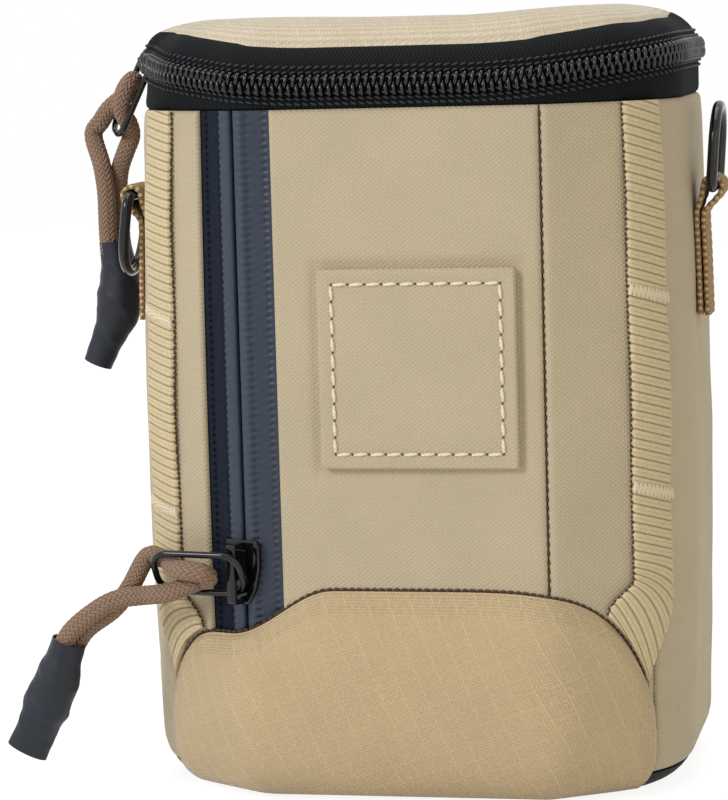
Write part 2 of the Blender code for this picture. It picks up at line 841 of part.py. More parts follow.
def pull_ring(name, place):
    """A long wire loop round the bridge, in a frame of (out along the pull, across, through)."""
    far, near = PULL_LENGTH - PULL_BACK, -PULL_BACK
    half, r = PULL_WIDTH / 2, PULL_CORNER
    corners = [
        (far - r, half - r, 0.0),
        (near + r, half - r, 0.5 * pi),
        (near + r, r - half, pi),
        (far - r, r - half, 1.5 * pi),
    ]
    points = []
    for p, w, start in corners:
        for k in range(6):
            turn = start + pi / 2 * k / 5
            points.append(place @ Vector((p + r * cos(turn), w + r * sin(turn), 0.0)))
    tube(name, points, PULL_WIRE, BLACK_METAL, place.translation, closed=True)


def hitch(place):
    """The cord's two strands through the loop: behind its far end, round, and out in front."""
    far = PULL_LENGTH - PULL_BACK
    side = (CORD + PULL_WIRE) / 2 + GAP
    turns = [
        (far + 0.0035, 0.0012, -side - 0.0004),
        (far - 0.0006, 0.0014, -side - 0.0001),
        (far - 0.0031, 0.0017, -0.0020),
        (far - 0.0046, 0.0020, -0.0001),
        (far - 0.0064, 0.0024, 0.0017),
        (far - 0.0086, 0.0030, 0.0027),
        (far - 0.0110, 0.0030, 0.0030),
        (far - 0.0131, 0.0022, 0.0025),
        (far - 0.0140, 0.0004, 0.0014),
        (far - 0.0131, -0.0014, 0.0003),
        (far - 0.0110, -0.0021, 0.0),
        (far - 0.0086, -0.0024, 0.0013),
        (far - 0.0064, -0.0029, 0.0024),
        (far - 0.0040, -0.0034, 0.0033),
        (far - 0.0006, -0.0038, side + 0.0003),
        (far + 0.0035, -0.0042, side + 0.0006),
    ]
    return [place @ Vector(turn) for turn in turns]


def sleeve(name, path, wide, look, origin):
    """A shrunk sleeve over the cord's knot, flat at its mouth and lumpy over the knot."""
    swell = [0.80, 0.84, 0.98, 1.04, 1.10, 1.0, 0.86, 0.84]
    flat = [0.66, 0.70, 0.90, 0.96, 1.02, 0.9, 0.70, 0.66]
    line = route(path, 3)
    picks = [line[round(f * (len(line) - 1))] for f in steps(len(swell) - 1)]
    rings = []
    for i, centre in enumerate(picks):
        ahead = (picks[min(i + 1, len(picks) - 1)] - picks[max(i - 1, 0)]).normalized()
        if i == 0:
            ahead = (path[1] - path[0]).normalized()
        major = (wide - ahead * wide.dot(ahead)).normalized()
        minor = ahead.cross(major)
        ring = []
        for k in range(14):
            turn = 2 * pi * k / 14
            ring.append(
                centre
                + major * (SLEEVE_LUMP * 1.12 * swell[i] * cos(turn))
                + minor * (SLEEVE_LUMP * flat[i] * sin(turn))
            )
        rings.append(ring)
    loft(name, rings, look, origin)


def pull_cord(prefix, place, mouth, tail, spread):
    """The doubled cord from the sleeve's mouth through the loop and back, and the sleeve below it."""
    pivot = place @ Vector((PULL_LENGTH - PULL_BACK, 0.0, 0.0))
    ahead = (tail[0] - mouth).normalized()
    spread = spread - ahead * spread.dot(ahead)
    start = mouth - ahead * 3 * GAP
    hook = hitch(place)
    points = [start + spread, start - ahead * CORD + spread] + hook
    points += [start - ahead * CORD - spread, start - spread]
    tube(f"{prefix}_pull_cord", route(points, 4), CORD, BROWN_CORD, pivot)
    sleeve(f"{prefix}_pull_sleeve", [mouth] + tail, spread, SLEEVE_LOOK, pivot)


def frame_of(across, along, out, origin):
    """A matrix whose columns are the three axes."""
    turn = Matrix((across, along, out)).transposed().to_4x4()
    return Matrix.Translation(origin) @ turn


def pull_frame(ahead, strap, axis_point):
    """The pull's frame: ahead along the loop, tilted about it so that it clears the bridge."""
    beside = strap.cross(ahead).normalized()
    across = strap * sin(PULL_TILT) + beside * cos(PULL_TILT)
    return frame_of(ahead, across, ahead.cross(across), axis_point)


# Pocket slider: outer plate over the tapes, channel behind them

up = Vector((0.0, 0.0, 1.0))
out = Vector((*seam_out, 0.0))
front_place = frame_of(up.cross(out) * -1.0, up, out, zip_spot(0.0, 0.0, POCKET_SLIDER_Z))
chain_depth = coil_in + COIL / 2 + GAP
lip_at = POCKET_SLOT / 2 + COIL + GAP + SLIDER_LIP / 2
lip_top = -tape_in - TAPE - 4 * GAP
front_lips = [(sign * lip_at, -chain_depth - SLIDER_PLATE / 2, lip_top) for sign in (-1, 1)]
front_axis = slider("front", front_place, GAP - tape_in, -chain_depth, front_lips)
front_axis_point = front_place @ Vector((0.0, 0.0, front_axis))
left = out.cross(up)
if left.x > 0:
    left = -left
front_ahead = left * cos(FRONT_PULL_LIFT) + out * sin(FRONT_PULL_LIFT)
front_pull = pull_frame(front_ahead, up, front_axis_point)
if (front_pull.to_3x3() @ Vector((0, 0, 1))).dot(out) < 0:
    front_pull = front_pull @ Matrix.Diagonal((1, 1, -1, 1))
pull_ring("front_pull_ring", front_pull)
pull_cord(
    "front",
    front_pull,
    Vector((-0.0796, -0.0440, 0.0392)),
    [Vector((-0.0838, -0.0440, 0.0292)), Vector((-0.0915, -0.0430, 0.0120))],
    Vector((-0.0010, 0.0021, 0.0013)),
)
print("front slider axis point", [round(c, 6) for c in front_axis_point])

# Main slider: outer plate and lower lip over the coils, inner plate behind the tape

side_out = Vector((-1.0, 0.0, 0.0))
along = Vector((0.0, -1.0, 0.0))
side_rear_y = BODY_DEPTH / 2 - BACK_CORNER
main_spot = Vector((-BODY_WIDTH / 2, side_rear_y - MAIN_SLIDER_BACK, chain(SIDE_END)))
main_place = frame_of(up, along, side_out, main_spot)
main_lip = COIL_SLOT / 2 + COIL + GAP + SLIDER_LIP / 2
main_lips = [(-main_lip, 0.0, COIL + GAP + SLIDER_PLATE / 2)]
tape_bow = lean(-SIDE_END, main_spot.z + SLIDER_WIDTH / 2)
main_axis = slider("main", main_place, COIL + GAP, -2 * GAP - TAPE - tape_bow, main_lips)
main_axis_point = main_place @ Vector((0.0, 0.0, main_axis))
down = Vector((-sin(MAIN_PULL_DROP), 0.0, -cos(MAIN_PULL_DROP)))
main_pull = pull_frame(down, along, main_axis_point)
pull_ring("main_pull_ring", main_pull)
pull_cord(
    "main",
    main_pull,
    Vector((-0.0829, 0.0195, 0.1298)),
    [Vector((-0.0845, 0.0195, 0.1145)), Vector((-0.0886, 0.0195, 0.0985))],
    Vector((0.0, 0.0026, 0.0)),
)
print("main slider axis point", [round(c, 6) for c in main_axis_point])
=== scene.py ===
"""Binocular harness pack: fabric, zips, webbing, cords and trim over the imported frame.

Metres, +Z up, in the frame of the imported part. Laid out as an add-on and run as a script.
"""

from math import ceil, cos, exp, hypot, pi, radians, sin, sqrt, tan

import bmesh
import bpy
from bpy.props import FloatProperty, FloatVectorProperty, PointerProperty
from mathutils import Matrix, Vector, noise


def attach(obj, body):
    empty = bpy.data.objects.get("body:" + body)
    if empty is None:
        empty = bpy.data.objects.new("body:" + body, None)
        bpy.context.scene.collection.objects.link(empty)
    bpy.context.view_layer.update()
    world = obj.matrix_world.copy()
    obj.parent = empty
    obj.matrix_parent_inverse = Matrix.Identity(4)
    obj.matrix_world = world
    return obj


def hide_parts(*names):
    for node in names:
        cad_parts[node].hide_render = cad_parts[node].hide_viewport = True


bl_info = {
    "name": "Binocular Harness Pack",
    "version": (1, 0, 0),
    "blender": (4, 5, 0),
    "location": "View3D > Sidebar > Pack",
    "description": "Dresses the packed harness pack with fabric, zips, webbing and cords",
    "category": "Object",
}

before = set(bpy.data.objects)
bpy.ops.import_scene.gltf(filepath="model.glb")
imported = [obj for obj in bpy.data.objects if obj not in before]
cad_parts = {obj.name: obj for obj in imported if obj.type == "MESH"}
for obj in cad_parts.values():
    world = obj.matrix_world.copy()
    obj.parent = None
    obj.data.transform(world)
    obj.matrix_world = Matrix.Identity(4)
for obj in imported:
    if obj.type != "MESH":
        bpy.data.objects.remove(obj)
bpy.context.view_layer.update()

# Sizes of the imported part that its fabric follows
BODY_WIDTH = 0.131
BODY_DEPTH = 0.084
BODY_TOP = 0.164
LID_TOP = 0.1848
POCKET_HALF = 0.036
POCKET_DEPTH = 0.019
POCKET_EDGE = 0.011
FRONT_CORNER = 0.030
CORNER_SEAM_AHEAD = 0.007
BACK_CORNER = 0.015
BASE_RADIUS = 0.0115
BASE_RISE = 0.005
BELLY = 0.0018
FABRIC = 0.0012
FOAM = 0.004
LINING = 0.0008
GAP = 0.0003
LAP = 0.003
INNER_DROP = 0.002
DIVIDER_SWEEP = 0.042
TOE_HEIGHT = 0.0515
TOE_FOOT = 0.0006
TOE_SWELL = 0.005
TOE_NOTCH = 0.0085
NOTCH_HALF = 0.022
ZIP_RISE = 0.011
ZIP_DIP = 0.0056
TAPE_ABOVE = 0.009
LEAN_START = 0.003
LEAN_RADIUS = 0.0034
TAPE = 0.0008
COIL = 0.0020
COIL_SLOT = 0.0014
HINGE_RISE = 0.0132
HINGE_BEAD = 0.0018
POCKET_ZIP_OUT = 0.0018
POCKET_ZIP_HALF = 0.0102
POCKET_SLOT = 0.0012
POCKET_COIL_TOP = 0.008
POCKET_SLIDER_Z = 0.0555
PATCH_THICK = 0.0015
PATCH_X = 0.0064
PATCH_Z = 0.1038
WEBBING = 0.0014
DAISY_WIDTH = 0.0100
DAISY_AHEAD = 0.0012
DAISY_STAND = 0.0012
DAISY_TACK_Z = 0.071
DAISY_PITCH = 0.046
DAISY_TURN = 0.0065
TAB_WIDTH = 0.0124
TAB_FOOT = 0.112
TAB_FOLD = 0.1425
TAB_Y = 0.001
TAB_STAND = 0.0018
RING_WIRE = 0.0026
RING_WIDTH = 0.0188
RING_HEIGHT = 0.019
RING_CORNER = 0.003
LEFT_RING_TILT = radians(7)
RIGHT_RING_TILT = radians(4)
SLIDER_PLATE = 0.0012
STRAP_RISE = 0.00375
PULL_WIRE = 0.0016
PULL_LENGTH = 0.0222
PULL_WIDTH = 0.0112
PULL_BACK = 0.0026
PULL_CORNER = 0.0042
PULL_TILT = radians(62)
FRONT_PULL_LIFT = radians(16)
MAIN_SLIDER_BACK = 0.008
MAIN_PULL_DROP = radians(26)
CORD = 0.0048
MM = 0.001

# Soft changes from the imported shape; a ramp is where on the outline one starts and over what length
PATCH_SIZE = 0.0466
SIDE_LEAN = 0.0035
LEFT_LEAN_SHARE = 0.7
LEAN_RAMP = (0.055, 0.018)
RIGHT_END_RAMP = (0.116, 0.013)
LEFT_END_RAMP = (0.075, 0.008)
LEFT_TUCK = 0.0020
TUCK_RAMP = (0.052, 0.016)
SIDE_SAG = 0.0012
SAG_END_RAMP = (0.110, 0.019)
LID_SADDLE = 0.0013
LEFT_SADDLE_SHARE = 0.6
RIGHT_SADDLE_SHARE = 1.4
SADDLE_RAMP = (0.010, 0.040)

# Drawn detail of the lid and the lined room
LID_DRAW = 0.9
LID_SHOULDER = 0.34
LID_CURVE = 2.4
LID_RIM_ROLL = 0.0022
LID_SEAM_RUN = 0.021
PAD_START = 0.13
QUILT = 0.03
ROOM_CORNER = 0.833
ROOM_INSET = FABRIC + FOAM + 2 * GAP

# Drawn detail of the panels and the toe cap
PANEL_HEIGHT = 0.115
PANEL_STEP = 0.0018
PRESSED_STEP = 0.0010
PRESSED_DEPTH = 0.0006
ZIP_FOLD = 0.0009
TOE_TUCK = 0.0020
TOE_TUCK_SHARE = 0.04
TOE_SLACK = 1.12
PUFF_FRAMES = 24
PUFF_LIMIT = 0.0028

# Drawn detail of the zips and their sliders
SLIDER_EDGES = {"body": 0.0002, "cap": 0.00028}
TAPE_TAIL = 0.0035
TAPE_PAST = 0.003
TAIL_FADE = 0.004
TAPE_ROLL = 0.0016
TAPE_WAVE = 0.00018
COIL_WIRE = 0.0005
COIL_END = 0.001
TOOTH_ROOT = 0.00100
TOOTH_REACH = 0.00125
TOOTH_SEAT = 0.00055
TOOTH_RISE = 0.00093
LOWER_SLANT = 0.16
UPPER_SLANT = 0.34
COIL_THREAD = 0.0006
COIL_ROW_LEAN = 0.00025
POCKET_TOOTH_PITCH = 0.0018
POCKET_COIL_WIRE = 0.00036
POCKET_TOOTH = 0.0006
ZIP_RIDGE = 0.0010
RIDGE_AT = 0.0028
RIDGE_HALF = 0.0019
BEAT_PITCH = 0.0017

# Drawn detail of the patch, the webbing and the seams
SEAM_THREAD = 0.0006
PATCH_CORNER = 0.0009
PATCH_INSET = 0.0035
PATCH_DIMPLE = 0.00035
PATCH_SWELL = 0.0002
PATCH_STITCH_SLANT = 0.00016
NEEDLE_HOLE = 0.0006
DAISY_CLEAR = 4 * GAP
DAISY_TURN_SHARE = 0.10
DAISY_LEVEL = 0.020
LEFT_RIB_SLOPE = -0.9
RIGHT_RIB_SLOPE = 1.4
LEFT_TACK_DROP = 0.0016
RIGHT_TACK_LIFT = 0.0026
TACK_TILT = 0.25
TACK_HEIGHT = 0.0032
TACK_THREAD = 0.0011
TACK_TURNS = 10
TAB_STEP = 0.0004
TAB_RIB = 0.0021

# Drawn detail of the cords and their sleeves
BRAID_COLUMNS = 16.0
BRAID_SLANT = 0.9
BRAID_SINK = 0.00016
BRAID_RISE = 0.00012
CORD_STEP = 0.0003
CORD_IN_SLEEVE = 0.003
GATHER = 0.006
STRAND_SHARE = 0.52
SLEEVE_STEP = 0.0005
SLEEVE_SIDES = 56
SLEEVE_LUMP = 0.13
SLEEVE_FOLD = 0.06

# How close corners are joined
WELD = 1e-6
FINE_WELD = 1e-7

# The photo's view: where the camera looks from, in degrees, metres and pixels
VIEW_AZIMUTH = radians(11.77)
VIEW_RISE = radians(6.95)
VIEW_ROLL = radians(1.62)
VIEW_DISTANCE = 0.7935
VIEW_AIM = Vector((-0.0154, 0.0, 0.0913))
FOCAL_PIXELS = 3232.0
IMAGE_HEIGHT = 800.0
SENSOR = 36.0

# Light: each lamp's name, place, size, power and tint
LAMPS = [
    ("key", (-0.75, -0.95, 0.75), 0.5, 9.2, "#FFFFFF"),
    ("fill", (0.9, -0.7, 0.35), 0.9, 1.8, "#FFEFB0"),
    ("top", (0.0, 0.1, 1.2), 0.9, 5.5, "#FFFFFF"),
]
LIGHT_AIM = Vector((0.0, 0.0, 0.09))
WHITE = (1.0, 1.0, 1.0, 1.0)
AMBIENT = 0.36
FLOOR_GLOW = 1.24
GLOW_SHARE = 0.72


def linear(code):
    """A linear colour from an sRGB hex code."""
    parts = [int(code[i : i + 2], 16) / 255 for i in (1, 3, 5)]
    return tuple(p / 12.92 if p <= 0.04045 else ((p + 0.055) / 1.055) ** 2.4 for p in parts) + (1.0,)


def length_value(name, description, default):
    return FloatProperty(name=name, description=description, default=default, min=0.0, unit="LENGTH")


def colour_value(name, description, code):
    return FloatVectorProperty(
        name=name, description=description, default=linear(code), size=4, min=0.0, max=1.0, subtype="COLOR"
    )


class PackSizes(bpy.types.PropertyGroup):
    """Sizes of the fabric's detail."""

    emboss_pitch: length_value("Emboss pitch", "Spacing of the coated fabric's diamonds", 0.00082)
    ripstop_pitch: length_value("Ripstop pitch", "Spacing of the ripstop's heavy threads", 0.0049)
    rib_pitch: length_value("Rib pitch", "Spacing of the webbing's ribs", 0.0022)
    tooth_pitch: length_value("Tooth pitch", "Spacing of the main zip's coil turns", 0.00190)
    braid_pitch: length_value("Braid pitch", "Spacing of the cord's braid along it", 0.0013)
    thread: length_value("Thread", "Thickness of the sewing thread", 0.00055)
    stitch: length_value("Stitch", "Length of one stitch and its gap", 0.0040)
    wrinkle: length_value("Wrinkle", "Depth of the soft waves in the panels", 0.00030)
    seam_roll: length_value("Seam roll", "How far a panel rounds off into its seam", 0.0016)


class PackColours(bpy.types.PropertyGroup):
    """Colours of the fabrics and trim."""

    coated: colour_value("Coated fabric", "Tan coated panels", "#C2B396")
    ripstop: colour_value("Ripstop", "Tan ripstop of the toe cap", "#C9B28C")
    # The lid's colour is the ripstop made paler: painted sheen, the pale look of the fabric seen at a grazing
    # angle.
    lid: colour_value("Lid ripstop", "The lid's ripstop, paled as painted sheen", "#D1C3AA")
    webbing: colour_value("Webbing", "Ribbed webbing", "#D3C19C")
    navy: colour_value("Navy tape", "Coated tapes of the pocket zip", "#333B4B")
    black_tape: colour_value("Black tape", "Woven tape of the main zip", "#0F1113")
    coil: colour_value("Coil", "Nylon coils", "#060607")
    black_fabric: colour_value("Black fabric", "Base and back", "#1C1D20")
    lining: colour_value("Lining", "Soft lining", "#8C8270")
    metal: colour_value("Black metal", "Sliders, loops and rings", "#0A0B0C")
    cord: colour_value("Cord", "Braided pull cord", "#9A7F6C")
    sleeve: colour_value("Sleeve", "Shrunk sleeves", "#131924")
    pale_thread: colour_value("Pale thread", "Patch and tack stitching", "#EEE2D0")
    dark_thread: colour_value("Dark thread", "Seam stitching", "#4A3524")
    floor: colour_value("Floor", "Studio floor", "#F4F4F4")


def sizes():
    return bpy.context.scene.pack_sizes


def colours():
    return bpy.context.scene.pack_colours


# Surfaces of the part


def smooth(t):
    """Ease from 0 to 1 with flat ends."""
    t = min(max(t, 0.0), 1.0)
    return t * t * (3.0 - 2.0 * t)


def ramp(at, stretch):
    """Ease from 0 to 1 along a stretch, given as its start and its length."""
    start, length = stretch
    return smooth((at - start) / length)


def hump(at, middle, half):
    """A bell that is 1 at its middle."""
    return exp(-(((at - middle) / half) ** 2))


def steps(count):
    """Even fractions from 0 to 1."""
    return [i / count for i in range(count + 1)]


def outline_runs():
    """Half of the outline as (start or centre, direction, length, radius), with radius 0 when straight."""
    front = Vector((0.0, -BODY_DEPTH / 2))
    back = Vector((0.0, BODY_DEPTH / 2))
    corners = [
        (Vector((POCKET_HALF, -BODY_DEPTH / 2)), POCKET_EDGE),
        (Vector((BODY_WIDTH / 2, POCKET_DEPTH - BODY_DEPTH / 2)), FRONT_CORNER),
        (Vector((BODY_WIDTH / 2, BODY_DEPTH / 2)), BACK_CORNER),
    ]
    stops = [front] + [corner for corner, _ in corners] + [back]
    runs = []
    here = front
    for i, (corner, radius) in enumerate(corners):
        before = (corner - stops[i]).normalized()
        after = (stops[i + 2] - corner).normalized()
        turn = before.angle(after)
        reach = radius * tan(turn / 2)
        enter = corner - before * reach
        runs.append((here, before, (enter - here).length, 0.0))
        centre = enter + Vector((-before.y, before.x)) * radius
        runs.append((centre, before, radius * turn, radius))
        here = corner + after * reach
    runs.append((here, (back - here).normalized(), (back - here).length, 0.0))
    return runs


RUNS = outline_runs()
RUN_ENDS = [sum(run[2] for run in RUNS[: i + 1]) for i in range(len(RUNS))]
HALF_ROUND = RUN_ENDS[-1]
POCKET_SEAM = RUN_ENDS[0] + RUNS[1][2] / 2
ZIP_SEAM = -POCKET_SEAM - POCKET_ZIP_OUT
CORNER_SEAM = RUN_ENDS[2] + RUNS[3][2] / 2 - CORNER_SEAM_AHEAD
SIDE_START = RUN_ENDS[3]
SIDE_END = RUN_ENDS[4]
REAR_SEAM = RUN_ENDS[4] + RUNS[5][2] / 2
BACK_START = RUN_ENDS[5]
SIDE_FRONT_Y = RUNS[4][0].y
HINGE_Z = BODY_TOP + HINGE_RISE
HINGE_Y = BODY_DEPTH / 2 - FABRIC / 2
HINGE_CLEAR = HINGE_BEAD / 2 + GAP


def unwrap(s):
    return s - 2 * HALF_ROUND if s > HALF_ROUND else s


def plan(s, inset=0.0):
    """Point and outward normal on the outline, s metres to the right of the front centre."""
    s = unwrap(s)
    side = -1.0 if s < 0 else 1.0
    left = abs(s)
    for i, (start, ahead, length, radius) in enumerate(RUNS):
        if left <= length or i == len(RUNS) - 1:
            break
        left -= length
    normal = Vector((ahead.y, -ahead.x))
    if radius:
        normal.rotate(Matrix.Rotation(left / radius, 2))
        point = start + normal * (radius - inset)
    else:
        point = start + ahead * left - normal * inset
    return Vector((point.x * side, point.y)), Vector((normal.x * side, normal.y))


def rounding(z):
    """How far the rounded bottom edge draws in at height z."""
    rest = max(BASE_RADIUS - z, 0.0)
    return BASE_RADIUS - sqrt(max(BASE_RADIUS**2 - rest**2, 0.0))


def belly(s, z):
    """How far the soft side walls swell at half height."""
    left = abs(unwrap(s))
    share = smooth((left - CORNER_SEAM + FRONT_CORNER) / FRONT_CORNER)
    share *= 1.0 - smooth((left - REAR_SEAM + BACK_CORNER) / BACK_CORNER)
    return BELLY * share * sin(pi * min(max(z / BODY_TOP, 0.0), 1.0))


def chain(s):
    """Height of the main zip's chain, which dips across the front."""
    away = smooth((abs(unwrap(s)) - POCKET_HALF / 2) / (SIDE_START - POCKET_HALF / 2))
    return BODY_TOP + ZIP_RISE - ZIP_DIP * (1.0 - away)


def lean(s, z):
    """How far the upper zip tape leans in over the mouth, above the chain."""
    return max(z - chain(s) - LEAN_START, 0.0) ** 2 / (2 * LEAN_RADIUS)


def wall(s, z, inset):
    """A point of the pouch wall; a negative inset lies outside it."""
    point, normal = plan(s)
    offset = inset + rounding(z) - belly(s, z) + lean(s, z)
    return Vector((point.x - normal.x * offset, point.y - normal.y * offset, z))


def wall_out(s):
    """The wall's outward direction."""
    return Vector((*plan(s)[1], 0.0))


def arch(s):
    """Height of the toe cap's arched seam, which is notched below the pocket zip."""
    reach = CORNER_SEAM * 1.02
    notch = TOE_NOTCH * smooth(1.0 - abs(s - ZIP_SEAM) / NOTCH_HALF)
    return TOE_HEIGHT * sqrt(max(1.0 - abs(s / reach) ** 5, 0.0)) - notch


def lid_rim(s):
    """Height of the lid panel's lower edge, which falls to the hinge at the back."""
    left = abs(unwrap(s))
    fall = smooth((left - REAR_SEAM) / (BACK_START - REAR_SEAM))
    front = chain(min(left, REAR_SEAM)) + TAPE_ABOVE
    return front + (HINGE_Z + HINGE_CLEAR - front) * fall


def draw_in(s, z):
    """How far the soft zip and lid draw in over the sides; the left slider's run stays as packed."""
    here = unwrap(s)
    left = abs(here)
    ended = ramp(left, RIGHT_END_RAMP if here > 0 else LEFT_END_RAMP)
    side = ramp(left, LEAN_RAMP) * (1.0 - ended)
    over = max(z - chain(s), 0.0) / TAPE_ABOVE
    amount = SIDE_LEAN * (LEFT_LEAN_SHARE if here < 0 else 1.0) * side * over**1.3
    if here < 0:
        rise = smooth((z - BODY_TOP) / (chain(s) - BODY_TOP))
        near = ramp(left, TUCK_RAMP) * (1.0 - ended)
        amount += LEFT_TUCK * rise * near
    return amount


def soft_wall(s, z, inset):
    """A point of the zip's soft wall."""
    return wall(s, z, inset + draw_in(s, z))


def soft_rim(s):
    """Height of the upper tape's top edge, which sags over the sides."""
    left = abs(unwrap(s))
    sag = ramp(left, LEAN_RAMP) * (1.0 - ramp(left, SAG_END_RAMP))
    return lid_rim(s) - SIDE_SAG * sag


def divider(u, z, back):
    """A point of the padded wall behind the pocket, sewn into the zip seam at its top."""
    seat = FABRIC + GAP
    flat = wall(-CORNER_SEAM, z, seat).lerp(wall(CORNER_SEAM, z, seat), (u + 1.0) / 2.0)
    sewn = wall(u * CORNER_SEAM, z, seat + FOAM * (1.0 - u**4))
    top = BODY_TOP - INNER_DROP
    point = flat.lerp(sewn, smooth((z - top + DIVIDER_SWEEP) / DIVIDER_SWEEP))
    point.y += back
    return point


def ripple(s, z, width, seed):
    """Soft waves of stretched fabric, from -1 to 1."""
    return noise.noise(Vector((s / width, z / width, seed)))


def zip_spot(across, out, z):
    """A point in the pocket zip's own frame: across the slot, out of the pocket and up."""
    point, normal = plan(ZIP_SEAM)
    beside = Vector((-normal.y, normal.x))
    return Vector((*(point + beside * across + normal * out), z))


# Tools that make pieces


def span(start, end, step, roll=0.0):
    """Stations from start to end, closer together where an edge rounds off."""
    count = max(1, ceil((end - start) / step))
    marks = [start + (end - start) * f for f in steps(count)]
    if roll:
        near = [roll * f for f in (0.06, 0.18, 0.36, 0.6, 0.9, 1.25)]
        keep = [m for m in marks[1:-1] if start + near[-1] * 1.2 < m < end - near[-1] * 1.2]
        marks = [start] + [start + n for n in near] + keep + [end - n for n in reversed(near)] + [end]
    return marks


def bullnose(gap, roll, depth):
    """How far an edge has rounded off at a distance from it."""
    part = 1.0 - min(max(gap / roll, 0.0), 1.0)
    return depth * (1.0 - sqrt(max(1.0 - part * part, 0.0)))


def face_out(bm):
    """Point the faces of a closed mesh outwards."""
    bmesh.ops.recalc_face_normals(bm, faces=bm.faces[:])
    if bm.calc_volume(signed=True) < 0:
        bmesh.ops.reverse_faces(bm, faces=bm.faces[:])


def uv_layer(bm, name="UVMap"):
    """The piece's own cloth coordinates, in metres."""
    return bm.loops.layers.uv.get(name) or bm.loops.layers.uv.new(name)


def lay_cloth(faces, layer, spot):
    """Give the faces' corners the cloth coordinates that spot says for their vertices."""
    for face in faces:
        for loop in face.loops:
            loop[layer].uv = spot(loop.vert)


def flat_spot(vert):
    return vert.co.xy


def grid(bm, across, up):
    """Add a flat grid of unit size and return its corners."""
    return bmesh.ops.create_grid(bm, x_segments=across, y_segments=up, size=0.5)["verts"]


def cell_of(vert, across, up):
    """The column and row of a flat grid's corner."""
    return round((vert.co.x + 0.5) * across), round((vert.co.y + 0.5) * up)


def close_holes(bm):
    bmesh.ops.holes_fill(bm, edges=[edge for edge in bm.edges if edge.is_boundary], sides=0)


def sheet(us, vs, place, uv=None, seam=None):
    """A closed sheet: a grid made solid, each corner put where place(u, v, side) says.

    seam(u, v) gives the distance from the nearest seam, for a pattern that follows it.
    """
    bm = bmesh.new()
    across, up = len(us) - 1, len(vs) - 1
    faces = list({face for vert in grid(bm, across, up) for face in vert.link_faces})
    bmesh.ops.solidify(bm, geom=faces, thickness=1.0)
    layer = uv_layer(bm)
    border = uv_layer(bm, "Seam") if seam else None
    spots, gaps = {}, {}
    for vert in bm.verts:
        i, j = cell_of(vert, across, up)
        u, v = us[i], vs[j]
        spots[vert] = uv(u, v) if uv else (u, v)
        if seam:
            gaps[vert] = (seam(u, v), 0.0)
        vert.co = place(u, v, round(abs(vert.co.z)))
    lay_cloth(bm.faces, layer, spots.get)
    if seam:
        lay_cloth(bm.faces, border, gaps.get)
    face_out(bm)
    return bm


def distances(points):
    """How far along a line each of its points lies."""
    run = [0.0]
    for a, b in zip(points, points[1:]):
        run.append(run[-1] + (b - a).length)
    return run


def frames(points, closed):
    """Tangent and two cross directions at each point of a line, with no needless twist."""
    count = len(points)
    ahead = []
    for i in range(count):
        last = points[i - 1] if closed or i else points[0]
        following = points[(i + 1) % count] if closed or i < count - 1 else points[-1]
        ahead.append((following - last).normalized())
    side = ahead[0].orthogonal().normalized()
    if closed:
        around = sum((a.cross(b) for a, b in zip(points, points[1:] + points[:1])), Vector())
        side = around.normalized()
    result = []
    for way in ahead:
        side = (side - way * side.dot(way)).normalized()
        result.append((way, side, way.cross(side)))
    return result


def tube(points, radius, sides, closed=False):
    """A tube along points; radius is a number or a function of (length along, turn)."""
    bm = bmesh.new()
    cross = frames(points, closed)
    rows = len(points) if closed else len(points) - 1
    run = distances(points + points[:1])
    made = grid(bm, sides, rows)
    layer = uv_layer(bm)
    spots = {}
    for vert in made:
        i, j = cell_of(vert, sides, rows)
        turn = 2 * pi * i / sides
        reach = radius(run[j], turn) if callable(radius) else radius
        _, one, two = cross[j % len(points)]
        vert.co = points[j % len(points)] + (one * cos(turn) + two * sin(turn)) * reach
        spots[vert] = (i / sides, run[j])
    lay_cloth(bm.faces, layer, spots.get)
    bmesh.ops.remove_doubles(bm, verts=made, dist=FINE_WELD)
    if not closed:
        close_holes(bm)
    return bm


def route(points, per_span, closed=False):
    """A smooth line through points."""
    line = []
    if closed:
        ends = points[-1:] + points + points[:2]
    else:
        ends = [2 * points[0] - points[1]] + points + [2 * points[-1] - points[-2]]
    for a, b, c, d in zip(ends, ends[1:], ends[2:], ends[3:]):
        for i in range(per_span):
            t = i / per_span
            bend = (2 * a - 5 * b + 4 * c - d) * t * t + (3 * b - a - 3 * c + d) * t**3
            line.append(0.5 * (2 * b + (c - a) * t + bend))
    return line if closed else line + [points[-1]]


def even(points, step):
    """The same line with evenly spaced points."""
    run = distances(points)
    count = max(2, round(run[-1] / step))
    line = []
    i = 0
    for f in steps(count):
        at = f * run[-1]
        while i < len(run) - 2 and run[i + 1] < at:
            i += 1
        line.append(points[i].lerp(points[i + 1], (at - run[i]) / max(run[i + 1] - run[i], 1e-9)))
    return line


def axes_at(origin, ahead, out):
    """A matrix whose X is ahead and whose Z is close to out."""
    ahead = ahead.normalized()
    across = out.cross(ahead).normalized()
    up = ahead.cross(across)
    return Matrix.Translation(origin) @ Matrix((ahead, across, up)).transposed().to_4x4()


def stitch(bm, start, end, out, thick):
    """One stitch as a small bead of thread lying on the cloth."""
    place = axes_at((start + end) / 2, end - start, out)
    size = Matrix.Diagonal(((end - start).length / 2, thick / 2, thick / 2, 1.0))
    bmesh.ops.create_uvsphere(bm, u_segments=6, v_segments=5, radius=1.0, matrix=place @ size)


def sew(bm, points, out, length, share, thick, slant=0.0):
    """A row of stitches along points; share is how much of each step shows, slant how far it leans."""
    line = even(points, length)
    for a, b in zip(line, line[1:]):
        middle = (a + b) / 2
        half = (b - a) * share / 2
        half += out(middle).cross(half).normalized() * slant
        stitch(bm, middle - half, middle + half, out(middle), thick)


